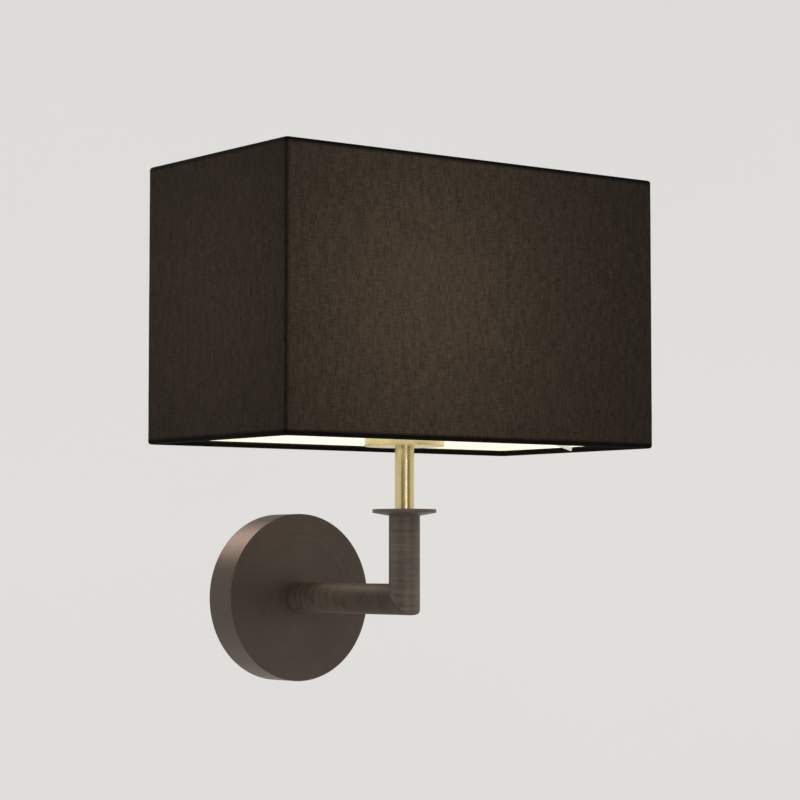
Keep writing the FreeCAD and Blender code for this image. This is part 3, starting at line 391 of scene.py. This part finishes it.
def rectangle_path(half_x, half_y, corner):
    """Stations anticlockwise from the back's middle: place, outward direction, distance, corner.
    The corner is the signs of the corner that a station belongs to, or 0, 0 on a straight run."""
    stations, travelled, turn = [], 0.0, (0, 0)

    def straight(here, there, outward):
        """Stations from here up to there, and the length of the run."""
        run = (there - here).length
        steps = max(2, round(run / STRAIGHT_STEP))
        for i in range(steps):
            at = here.lerp(there, i / steps)
            signs = turn if i == 0 else (0, 0)
            along = travelled + run * i / steps
            stations.append((at.x, at.y, outward.x, outward.y, along, *signs))
        return run

    back_middle = Vector((0.0, half_y))
    here = back_middle
    corners = [(-half_x, half_y, 90), (-half_x, -half_y, 180), (half_x, -half_y, 270),
               (half_x, half_y, 0)]
    for x, y, start in corners:
        middle = Vector((x - math.copysign(corner, x), y - math.copysign(corner, y)))
        travelled += straight(here, middle + corner * direction(start), direction(start))
        turn = (math.copysign(1, x), math.copysign(1, y))
        for i in range(CORNER_STEPS):
            angle = 90 * i / CORNER_STEPS
            out = direction(start + angle)
            at = middle + corner * out
            along = travelled + corner * math.radians(angle)
            stations.append((at.x, at.y, out.x, out.y, along, *turn))
        travelled += corner * math.pi / 2
        here = middle + corner * direction(start + 90)
    return stations, travelled + straight(here, back_middle, Vector((0.0, 1.0)))


# %% [markdown]
# ## Sweeping a section round the path
# The cloth's section is drawn once, as (inset, height) points from the tucked edge at the bottom,
# round the bottom wire, up the wall, round the top wire and back in. Sweeping it round the path
# makes the whole sheet in one piece, with a UV map in metres: U round the shade and V along the
# cloth.
#
# The wire inside the roll can't bend as sharply as the cloth's outer corner does. So the section
# can carry a bend: towards its inner side, the sheet turns each corner on a wider circle.


# %% Sheet from a section
def swept_sheet(name, section, half_x, half_y, corner, centre, foot, ripple=None, bend=None):
    """A sheet through the section at each station. An inset is measured inwards from the path.
    A bend (inset from, inset to, radius) widens the corner inwards, where the sheet wraps a wire.
    Gives the piece, its length round the path and the length of its section."""
    stations, length = rectangle_path(half_x, half_y, corner)
    lengths = [0.0]
    for (a, b), (c, d) in zip(section, section[1:]):
        lengths.append(lengths[-1] + math.hypot(c - a, d - b))
    mesh = bmesh.new()
    uv = mesh.loops.layers.uv.new("cloth")
    columns = []
    for x, y, out_x, out_y, distance, turn_x, turn_y in stations:
        column = []
        for inset, height in section:
            push = -inset + (ripple(distance, height) if ripple else 0.0)
            wider = 0.0
            if bend and (turn_x or turn_y):
                share = min(max((inset - bend[0]) / (bend[1] - bend[0]), 0.0), 1.0)
                wider = (bend[2] - corner) * share * share * (3 - 2 * share)
            column.append(mesh.verts.new((
                centre[0] + x + out_x * (push + wider) - turn_x * wider,
                centre[1] + y + out_y * (push + wider) - turn_y * wider, foot + height)))
        columns.append(column)
    for i, column in enumerate(columns):
        following = columns[(i + 1) % len(columns)]
        near = stations[i][4]
        far = stations[i + 1][4] if i + 1 < len(stations) else length
        for j in range(len(section) - 1):
            face = mesh.faces.new((column[j], following[j], following[j + 1], column[j + 1]))
            for loop, u, v in zip(face.loops, (near, far, far, near), (j, j, j + 1, j + 1)):
                loop[uv].uv = (u, lengths[v])
            face.smooth = True
    made = bpy.data.meshes.new(name)
    mesh.to_mesh(made)
    mesh.free()
    piece = bpy.data.objects.new(name, made)
    bpy.context.scene.collection.objects.link(piece)
    print(name, len(stations), "stations,", round(length, 3), "m round,",
          round(lengths[-1], 3), "m across")
    return piece, length, lengths[-1]


def arc_points(centre, radius, start, end, steps):
    """Points of an arc in the section, as (inset, height), angles in degrees from outward."""
    return [(centre[0] - radius * math.cos(math.radians(a)),
             centre[1] + radius * math.sin(math.radians(a)))
            for a in np.linspace(start, end, steps)]


def thicken(piece, thickness):
    """Give a sheet its real thickness, half of it on each side."""
    skin = piece.modifiers.new("thickness", "SOLIDIFY")
    skin.thickness, skin.offset = thickness, 0.0


# %% [markdown]
# ## The cloth
# On the real shade the linen is glued to the lining, rolled round the wire and tucked in behind
# it. So its section is a long straight wall with a round bead at each end. The wire itself is only
# 3 mm thick, which makes the small dark bead that shows inside the lower edge. Cloth that is held
# by glue and two wires doesn't hang, so it is drawn in its final shape and not simulated.

# %% Cloth mesh
CLOTH = 0.5 * MM  # thickness
LINING = 0.4 * MM  # thickness
CORNER = 2.5 * MM  # radius of the cloth's outer corner
WIRE = 1.5 * MM  # radius
WIRE_BEND = (0.9 * MM, 2.4 * MM, 6.3 * MM)  # inset from, inset to, corner radius there
GAP = 0.05 * MM
ROLL_ARC = (130, 270, 10)  # from, to and points, in degrees from outward
FOLD_ARC = (270, 360, 5)
FOLD = 0.0016  # radius of the fold between the roll and the wall
FLAT = 0.0002  # short flat run before the fold
WALL_FROM = 0.0045  # where the straight wall starts, from either edge
WALL_STEPS = 34
RIPPLE = 0.00004  # height of the cloth's faint waves

shade_size = shade_high - shade_low
shade_middle = ((shade_low.x + shade_high.x) / 2, (shade_low.y + shade_high.y) / 2)
half_cloth = CLOTH / 2
wire_inset = CLOTH + GAP + LINING + GAP + WIRE
bead = WIRE + GAP + half_cloth
wire_rise = CLOTH + GAP + WIRE
cloth_height = shade_size.z


def cloth_section():
    """From the tucked edge behind the bottom wire to the tucked edge behind the top wire."""
    low = (wire_inset, wire_rise)
    bottom = arc_points(low, bead, *ROLL_ARC) + [(half_cloth + FOLD + FLAT, half_cloth)]
    bottom += arc_points((half_cloth + FOLD, half_cloth + FOLD), FOLD, *FOLD_ARC)[1:]
    wall = [(half_cloth, h) for h in np.linspace(WALL_FROM, cloth_height - WALL_FROM, WALL_STEPS)]
    top = [(inset, cloth_height - h) for inset, h in reversed(bottom)]
    return bottom + wall + top


def cloth_ripple(distance, level):
    """Linen on a stiff lining lies flat to within a few hundredths of a millimetre."""
    return RIPPLE * math.sin(distance * 61 + 9 * math.sin(level * 23)) * math.sin(level * 37 + 1.3)


fabric, around, across = swept_sheet(
    "shade_cloth", cloth_section(), shade_size.x / 2, shade_size.y / 2, CORNER,
    shade_middle, shade_low.z, cloth_ripple, bend=WIRE_BEND)

# %% [markdown]
# ## The linen
# The weave is drawn in the cloth's own coordinates. Two sets of threads cross at right angles.
# Each thread has its own tone, and thick slubs run along some of them, so two stretched noises,
# one along and one across, carry most of the look. The lamp behind shines faintly through the
# cloth, and that light is painted on as a glow: it falls off with the distance from the lamp and
# stops at the rolled edges, where the wire and the turned cloth block it. There, and along the
# upright corners, the cloth's colour is darkened as painted shade. The light shines through thin
# threads more than through thick ones, so the same pattern that colours the threads also sets how
# bright each of them glows.

# %% Linen finish
THREAD = 0.00052  # from one thread to the next
SEAM = 0.120  # the cut edge of the glued overlap, on the back near a corner
SEAM_LINE = (0.0002, 0.0006, 0.3)  # its dark line: full to here, gone from here, and how dark
WARP = (1700.0, 170.0, 3.0)  # cycles to the metre round and up the shade, and detail
WEFT = (150.0, 1700.0, 3.0)
BANDS = (300.0, 50.0, 2.0)
WARP_SHARE = 0.55  # of the threads' tone; the rest comes from the weft
BAND_SHARE = 0.2  # of the cloth's tone; the rest comes from the threads
CHECK_SHARE = 0.05  # added by the regular crossing of the threads
WEAVE_DEPTH = 0.00025
THREAD_TONES = (0.38, 0.64)  # the noise that gives the darkest and the lightest thread
THREAD_GLOW = (0.48, 1.52)  # how much light the darkest and the lightest thread let through
LINEN_DARK = (0.0036, 0.0027, 0.0021, 1)
LINEN_LIGHT = (0.0116, 0.0089, 0.0070, 1)
EDGE_SHADE = (0.35, 0.35, 0.35, 1)  # colour left at the rolled edges and corners: painted shade
UNSHADED = (1.0, 1.0, 1.0, 1)
BOTTOM_ROLL = (0.0022, 0.0042)  # where it stops blocking light, above the lower edge
TOP_ROLL = (0.0038, 0.0016)  # where it starts to, and does fully, below the upper edge
CORNER_LINE = (0.0005, 0.0021)  # painted shade line: from and to, away from an upright corner
CORNER_SHARE = 0.25  # of the light and the colour left at the corner itself
# The painted glow is dimmer on the short sides.
SHORT_SIDE = (0.0035, 0.0010, 0.58)  # from and to, inside the short sides, and their share
CLOTH_REACH = 0.092  # where the glow has fallen to half
CLOTH_GLOW = 0.083
lamp_place = Vector((stem_x, stem_y, lamp_middle.z))


def glow(tree, source, reach, weights=(1.0, 1.0, 1.0)):
    """How strongly the lamp lights a point of the shade: 1 beside the lamp, falling outwards.
    A weight under 1 lets the light spread further along that direction."""
    offset = add(tree, "ShaderNodeVectorMath", {0: object_place(tree), 1: source},
                 operation="SUBTRACT").outputs[0]
    offset = add(tree, "ShaderNodeVectorMath", {0: offset, 1: weights},
                 operation="MULTIPLY").outputs[0]
    far = add(tree, "ShaderNodeVectorMath", {0: offset}, operation="LENGTH").outputs["Value"]
    share = calc(tree, "DIVIDE", far, reach)
    return calc(tree, "DIVIDE", 1.0, calc(tree, "ADD", 1.0, calc(tree, "MULTIPLY", share, share)))


def stretched(tree, uv, along, across, detail):
    """Noise pulled out along one set of threads. Both scales are in cycles to the metre."""
    drawn = add(tree, "ShaderNodeVectorMath", {0: uv, 1: (along, across, 1.0)},
                operation="MULTIPLY")
    return noise(tree, drawn.outputs[0], 1.0, detail, 0.6)


def corner_distance(tree, place):
    """How far a point of the shade lies from the nearest upright corner, along the cloth."""
    split = add(tree, "ShaderNodeSeparateXYZ", {0: place}).outputs
    reach = []
    for i in (0, 1):
        off = calc(tree, "ABSOLUTE", calc(tree, "SUBTRACT", split[i], shade_middle[i]))
        reach.append(calc(tree, "SUBTRACT", shade_size[i] / 2, off))
    return calc(tree, "MAXIMUM", *reach)


def weave(tree, uv):
    """The tone of the threads at a point of the cloth, about 0.5, with the seam's dark line."""
    split = add(tree, "ShaderNodeSeparateXYZ", {0: uv}).outputs
    warp, weft, wide = (stretched(tree, uv, *scales) for scales in (WARP, WEFT, BANDS))
    waves = [calc(tree, "SINE", calc(tree, "MULTIPLY", split[i], 2 * math.pi / THREAD))
             for i in (0, 1)]
    checks = calc(tree, "MULTIPLY", waves[0], waves[1])
    threads = calc(tree, "ADD", calc(tree, "MULTIPLY", warp, WARP_SHARE),
                   calc(tree, "MULTIPLY", weft, 1 - WARP_SHARE))
    tone = calc(tree, "ADD", calc(tree, "ADD", calc(tree, "MULTIPLY", threads, 1 - BAND_SHARE),
                                  calc(tree, "MULTIPLY", wide, BAND_SHARE)),
                calc(tree, "MULTIPLY", checks, CHECK_SHARE))
    seam = calc(tree, "ABSOLUTE", calc(tree, "SUBTRACT", split[0], SEAM))
    return calc(tree, "SUBTRACT", tone, spread(tree, seam, *SEAM_LINE, 0.0))


def unblocked_share(tree, place):
    """1 on the open cloth, 0 at the rolled edges and less at the upright corners, where the
    wire and the turned cloth block the lamp. It masks the glow and sets the painted shade.
    """
    level = add(tree, "ShaderNodeSeparateXYZ", {0: place}).outputs[2]
    rise = calc(tree, "SUBTRACT", level, shade_low.z)
    drop = calc(tree, "SUBTRACT", shade_high.z, level)
    clear = calc(tree, "MULTIPLY", spread(tree, rise, *BOTTOM_ROLL, 0.0, 1.0),
                 spread(tree, drop, *TOP_ROLL, 1.0, 0.0))
    return calc(tree, "MULTIPLY", clear,
                spread(tree, corner_distance(tree, place), *CORNER_LINE, CORNER_SHARE, 1.0))


def linen_finish():
    """Dark threads with the weave's relief, the lamp's faint light through them painted on as a
    glow, and painted shade at the rolled edges and corners.
    """
    made, tree, shader = new_material(
        "dark_brown_linen", Roughness=0.95, Sheen_Weight=0.02, Sheen_Roughness=0.5,
        Specular_IOR_Level=0.06)
    tone = weave(tree, add(tree, "ShaderNodeUVMap", uv_map="cloth").outputs[0])
    relief = add(tree, "ShaderNodeBump", {
        "Height": tone, "Strength": 0.5, "Distance": WEAVE_DEPTH})
    tree.links.new(relief.outputs[0], shader.inputs["Normal"])
    place = object_place(tree)
    clear = unblocked_share(tree, place)
    share = spread(tree, tone, *THREAD_TONES, 0.0, 1.0)
    colour = blend_colours(tree, share, LINEN_DARK, LINEN_LIGHT)
    # Painted shade: the colour is darkened at the rolled edges and the upright corners.
    layers = blend_colours(tree, clear, EDGE_SHADE, UNSHADED)
    tree.links.new(blend_colours(tree, 1.0, colour, layers, "MULTIPLY"),
                   shader.inputs["Base Color"])
    # The painted glow is centred off the lamp, lower and towards the camera's side.
    bright = lamp_place + Vector((-0.045, 0.0, -0.022))  # the camera's side of the lamp
    lit = calc(tree, "MULTIPLY", calc(tree, "MULTIPLY", glow(tree, bright, CLOTH_REACH), clear),
               spread(tree, tone, *THREAD_TONES, *THREAD_GLOW))
    sideways = calc(tree, "ABSOLUTE", add(tree, "ShaderNodeSeparateXYZ", {0: place}).outputs[0])
    inside = calc(tree, "SUBTRACT", shade_high.x, sideways)
    lit = calc(tree, "MULTIPLY", lit,
               spread(tree, inside, SHORT_SIDE[0], SHORT_SIDE[1], 1.0, SHORT_SIDE[2]))
    shader.inputs["Emission Color"].default_value = (1.0, 0.71, 0.46, 1.0)
    tree.links.new(calc(tree, "MULTIPLY", lit, CLOTH_GLOW), shader.inputs["Emission Strength"])
    return made


dress(fabric, linen_finish())
thicken(fabric, CLOTH)
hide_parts("shade_fabric")
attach(fabric, "shade")

# %% [markdown]
# ## The lining
# A stiff white film stands behind the linen. It catches the lamp's light and glows, brightest
# beside the lamp and towards the lower edge, where the photograph looks in. It is a plain band
# with no roll at its edges, and it meets itself in a glued overlap.

# %% Lining
lining_low, lining_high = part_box("shade_lining")
ROLL_ROOM = 0.7 * MM  # the film stops short of the roll of the cloth
FILM_REACH = 0.12  # where the glow has fallen to half
FILM_GLOW = 1.42
lining_height = lining_high.z - lining_low.z - 2 * ROLL_ROOM
lining_section = [(LINING / 2, h) for h in np.linspace(0.0, lining_height, WALL_STEPS)]
lining, lining_around, lining_across = swept_sheet(
    "shade_lining_film", lining_section, (lining_high.x - lining_low.x) / 2,
    (lining_high.y - lining_low.y) / 2, CORNER, shade_middle, lining_low.z + ROLL_ROOM)


def lining_finish():
    """White film whose own light stands for the lamp's light on it."""
    made, tree, shader = new_material("white_lining_film", Roughness=0.45, Specular_IOR_Level=0.3)
    drift = noise(tree, object_place(tree), 300.0, 3.0)
    colour = blend_colours(tree, drift, (0.15, 0.147, 0.12, 1), (0.19, 0.186, 0.155, 1))
    tree.links.new(colour, shader.inputs["Base Color"])
    shader.inputs["Emission Color"].default_value = (1.0, 0.98, 0.80, 1.0)
    low_middle = lamp_place + Vector((0.0, 0.0, -0.075))
    light = glow(tree, low_middle, FILM_REACH, weights=(0.4, 1.0, 1.0))
    tree.links.new(calc(tree, "MULTIPLY", light, FILM_GLOW), shader.inputs["Emission Strength"])
    return made


dress(lining, lining_finish())
thicken(lining, LINING)
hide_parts("shade_lining")
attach(lining, "shade")

# %% [markdown]
# ## Screw threads
# Two round threads show when the shade ring or the lamp comes off: the one on the outside of the
# holder, which the ring screws onto, and the one rolled into the lamp's cap. Both follow the same
# rule, a bead wound round an upright line, so one node tree makes them. Its inputs are the sizes.
# The bead is a small circle carried along a spiral, half sunk into the part that bears it.

# %% Thread tree
SPIRAL_STEPS = 64  # to the turn
BEAD_SIDES = 10


def thread_tree():
    """The tree, and the name that Blender gives to each of its inputs."""
    tree = bpy.data.node_groups.new("round_thread", "GeometryNodeTree")
    sizes = {}
    for name, kind in (("Radius", "NodeSocketFloat"), ("Pitch", "NodeSocketFloat"),
                       ("Turns", "NodeSocketFloat"), ("Bead", "NodeSocketFloat"),
                       ("Foot", "NodeSocketVector"), ("Finish", "NodeSocketMaterial")):
        sizes[name] = tree.interface.new_socket(name, in_out="INPUT", socket_type=kind).identifier
    tree.interface.new_socket("Geometry", in_out="OUTPUT", socket_type="NodeSocketGeometry")
    given = add(tree, "NodeGroupInput").outputs
    rise = calc(tree, "MULTIPLY", given["Pitch"], given["Turns"])
    spiral = add(tree, "GeometryNodeCurveSpiral", {
        "Resolution": SPIRAL_STEPS, "Rotations": given["Turns"], "Start Radius": given["Radius"],
        "End Radius": given["Radius"], "Height": rise})
    bead = add(tree, "GeometryNodeCurvePrimitiveCircle", {
        "Resolution": BEAD_SIDES, "Radius": given["Bead"]})
    wound = add(tree, "GeometryNodeCurveToMesh", {
        "Curve": spiral.outputs[0], "Profile Curve": bead.outputs[0], "Fill Caps": True})
    placed = add(tree, "GeometryNodeTransform", {
        "Geometry": wound.outputs[0], "Translation": given["Foot"]})
    real = add(tree, "GeometryNodeRealizeInstances", {0: placed.outputs[0]})
    done = add(tree, "GeometryNodeSetMaterial", {
        "Geometry": real.outputs[0], "Material": given["Finish"]})
    tree.links.new(done.outputs[0], add(tree, "NodeGroupOutput").inputs[0])
    return tree, sizes


def grow(name, tree, sizes, finish, slot, body, **values):
    """Run the tree with these sizes and keep its result as a plain mesh that rides on a body."""
    holder = bpy.data.objects.new(name, bpy.data.meshes.new(name + "_empty"))
    bpy.context.scene.collection.objects.link(holder)
    run = holder.modifiers.new("tree", "NODES")
    run.node_group = tree
    for key, value in values.items():
        run[sizes[key]] = value
    run[sizes["Finish"]] = finish
    evaluated = holder.evaluated_get(bpy.context.evaluated_depsgraph_get())
    grown = bpy.data.meshes.new_from_object(evaluated)
    holder.modifiers.remove(run)
    holder.data = grown
    grown.name = name
    shape = bmesh.new()
    shape.from_mesh(grown)
    bmesh.ops.recalc_face_normals(shape, faces=shape.faces)
    for face in shape.faces:
        face.smooth = True
    shape.to_mesh(grown)
    shape.free()
    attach(holder, body)
    print(name, len(grown.polygons), "faces")


# %% [markdown]
# The holder is moulded with its thread, which runs on above the ring to the holder's mouth and
# stays still while the ring turns. The lamp's cap is thin sheet with its thread rolled in, so that
# thread is coarser and rounder than a cut one. It rides on the lamp and climbs with it.

# %% The two threads
SKIRT_RADIUS = 20.0 * MM
SKIRT_PITCH = 2.5 * MM
SKIRT_BEAD = 0.55 * MM
SKIRT_PLAIN = 1.5 * MM  # left smooth at either end
CAP_PITCH = 3.62 * MM
CAP_TURNS = 4
CAP_BEAD = 0.85 * MM
CAP_SINK = 0.75 * MM  # of the bead's middle below the cap's widest radius
CAP_PLAIN = 1.6 * MM  # left smooth at the top
holder_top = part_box("holder_body")[1].z
ring_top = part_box("shade_ring")[1].z
cap_low, cap_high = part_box("bulb_cap")
cap_radius = (cap_high.x - cap_low.x) / 2
skirt_free = holder_top - ring_top - 2 * SKIRT_PLAIN
round_thread, thread_sizes = thread_tree()
grow("holder_outer_thread", round_thread, thread_sizes, black_phenolic, "holder_plastic", "root",
     Radius=SKIRT_RADIUS, Pitch=SKIRT_PITCH, Turns=skirt_free / SKIRT_PITCH, Bead=SKIRT_BEAD,
     Foot=(stem_x, stem_y, ring_top + SKIRT_PLAIN))
grow("bulb_cap_thread", round_thread, thread_sizes, nickel, "nickel", "lamp",
     Radius=cap_radius - CAP_SINK, Pitch=CAP_PITCH, Turns=float(CAP_TURNS), Bead=CAP_BEAD,
     Foot=(stem_x, stem_y, cap_high.z - CAP_PLAIN - CAP_TURNS * CAP_PITCH))

# %% [markdown]
# ## The lamp
# The globe is an opal diffuser with the light on behind it. The lining carries most of the light
# in the shade, so the globe itself glows just enough to read as lit, and a little less at its
# foot, where the collar and the light board stand in the way.

# %% Opal globe
FOOT_GLOW, FULL_GLOW = 0.50, 0.72
FULL_FROM = 0.022  # above the globe's foot


def opal_finish():
    """Opal plastic that glows, more above its foot than at it."""
    made, tree, shader = new_material("lit_opal", Roughness=0.35)
    drift = noise(tree, object_place(tree), 200.0)
    colour = blend_colours(tree, drift, (0.60, 0.58, 0.54, 1), (0.66, 0.64, 0.60, 1))
    tree.links.new(colour, shader.inputs["Base Color"])
    level = add(tree, "ShaderNodeSeparateXYZ", {0: object_place(tree)}).outputs[2]
    shader.inputs["Emission Color"].default_value = (1.0, 0.93, 0.76, 1.0)
    tree.links.new(
        spread(tree, level, lamp_low.z, lamp_low.z + FULL_FROM, FOOT_GLOW, FULL_GLOW),
        shader.inputs["Emission Strength"])
    return made


dress(nodes["bulb_globe"], opal_finish())
print("globe glows from", FOOT_GLOW, "to", FULL_GLOW)

# %% [markdown]
# ## The studio
# A wide pale bowl surrounds the light: a floor that sweeps up into a wall, so every view has a
# plain background with no horizon. The wall is lit from behind, as a paper sweep in a studio can
# be, which makes it an even soft light of its own. It is large and even, so no light ray has to be
# aimed at it, which leaves more of them for the lamps. Towards the camera the wall has a wide
# opening. The room beyond it is darker, and polished metal needs that: brass shows its roundness
# by reflecting pale walls at its sides, a dark room in front, and one bright lamp in the middle.

# %% Studio bowl
FLOOR = -1.30
BOWL_RADIUS = 4.2
BOWL_SWEEP = 1.4
SWEEP_POINTS = 13
BOWL_RIM = 2.6
OPENING = (-76.0, 30.0)  # degrees to the left and right of the way out of the wall
SIDES = 120
LOW_BANDS = 7  # bands of the sweep that run on below the opening, as the floor does
PAPER_LIGHT = 0.60


def bowl_profile():
    """(radius, height) points of the floor, the sweep and the wall."""
    points = [(BOWL_RADIUS / 2, FLOOR), (BOWL_RADIUS, FLOOR)]
    for angle in np.linspace(0, 90, SWEEP_POINTS)[1:]:
        turn = math.radians(angle)
        points.append((BOWL_RADIUS + BOWL_SWEEP * math.sin(turn),
                       FLOOR + BOWL_SWEEP * (1 - math.cos(turn))))
    return points + [(BOWL_RADIUS + BOWL_SWEEP, BOWL_RIM)]


def studio_bowl():
    """The profile turned round the upright axis, without the wall in the opening."""
    mesh = bmesh.new()
    rings = [[mesh.verts.new((radius * math.cos(2 * math.pi * i / SIDES),
                              radius * math.sin(2 * math.pi * i / SIDES), level))
              for i in range(SIDES)] for radius, level in bowl_profile()]
    middle = mesh.verts.new((0, 0, FLOOR))
    for i in range(SIDES):
        following = (i + 1) % SIDES
        mesh.faces.new((middle, rings[0][i], rings[0][following]))
        bearing = (360 * (i + 0.5) / SIDES + 90 + 180) % 360 - 180
        for j, (low, high) in enumerate(zip(rings, rings[1:])):
            if OPENING[0] < bearing < OPENING[1] and j > LOW_BANDS:
                break
            mesh.faces.new((low[i], high[i], high[following], low[following]))
    for face in mesh.faces:
        face.smooth = True
    made = bpy.data.meshes.new("studio_floor")
    mesh.to_mesh(made)
    mesh.free()
    piece = bpy.data.objects.new("studio_floor", made)
    bpy.context.scene.collection.objects.link(piece)
    return piece


floor = studio_bowl()
paper = plain("pale_studio_paper", (0.25, 0.25, 0.24), (0.26, 0.26, 0.25), 0.9, 1.5)
paper.cycles.emission_sampling = "NONE"
glowing = next(n for n in paper.node_tree.nodes if n.type == "BSDF_PRINCIPLED")
glowing.inputs["Emission Color"].default_value = (1.0, 0.985, 0.955, 1.0)
glowing.inputs["Emission Strength"].default_value = PAPER_LIGHT
dress(floor, paper)
print("studio bowl", len(floor.data.polygons), "faces")

# %% [markdown]
# ## Light
# The photograph's light is soft and comes from all sides, with a bright source beside the camera
# that draws the narrow highlight down the brass. A large warm lamp high behind the light brightens
# the upper left of the cover's rim, and one high in front, on the right, lifts the cloth and the
# flange. The world is the darker room beyond the opening.

# %% World and lamps
ROOM_LIGHT = 0.11
AIM_LEVEL = 0.08  # where the lamps point, on the stem's line
LAMPS = [
    # name, bearing, distance, level, width, length, watts, colour
    ("strip_by_camera", -14, 2.4, 0.5, 0.34, 2.2, 9.5, (1.0, 0.99, 0.97)),
    ("wide_by_camera", -33, 2.4, 0.5, 0.80, 2.2, 2.5, (1.0, 0.99, 0.97)),
    ("high_behind", -165, 2.0, 2.1, 1.8, 1.8, 62, (1.0, 0.84, 0.72)),
    ("high_front_right", 38, 2.2, 1.9, 1.2, 1.2, 36, (1.0, 0.96, 0.91)),
]

world = bpy.data.worlds.new("studio_room")
world.use_nodes = True
room = world.node_tree.nodes["Background"]
room.inputs[0].default_value = (0.95, 0.95, 0.94, 1)
room.inputs[1].default_value = ROOM_LIGHT
bpy.context.scene.world = world
bpy.context.scene.view_settings.view_transform = "Standard"


def soft_lamp(name, bearing, distance, level, width, length, watts, colour):
    """A soft lamp aimed at the stem. Its bearing is in degrees to the right of straight ahead."""
    turn = math.radians(bearing)
    data = bpy.data.lights.new(name, "AREA")
    data.shape, data.size, data.size_y = "RECTANGLE", width, length
    data.energy, data.color = watts, colour
    lamp = bpy.data.objects.new(name, data)
    lamp.location = (stem_x + distance * math.sin(turn), stem_y - distance * math.cos(turn), level)
    aim = Vector((stem_x, stem_y, AIM_LEVEL)) - lamp.location
    lamp.rotation_euler = aim.to_track_quat("-Z", "Y").to_euler()
    bpy.context.scene.collection.objects.link(lamp)


for settings in LAMPS:
    soft_lamp(*settings)
print(len(LAMPS), "soft lamps")
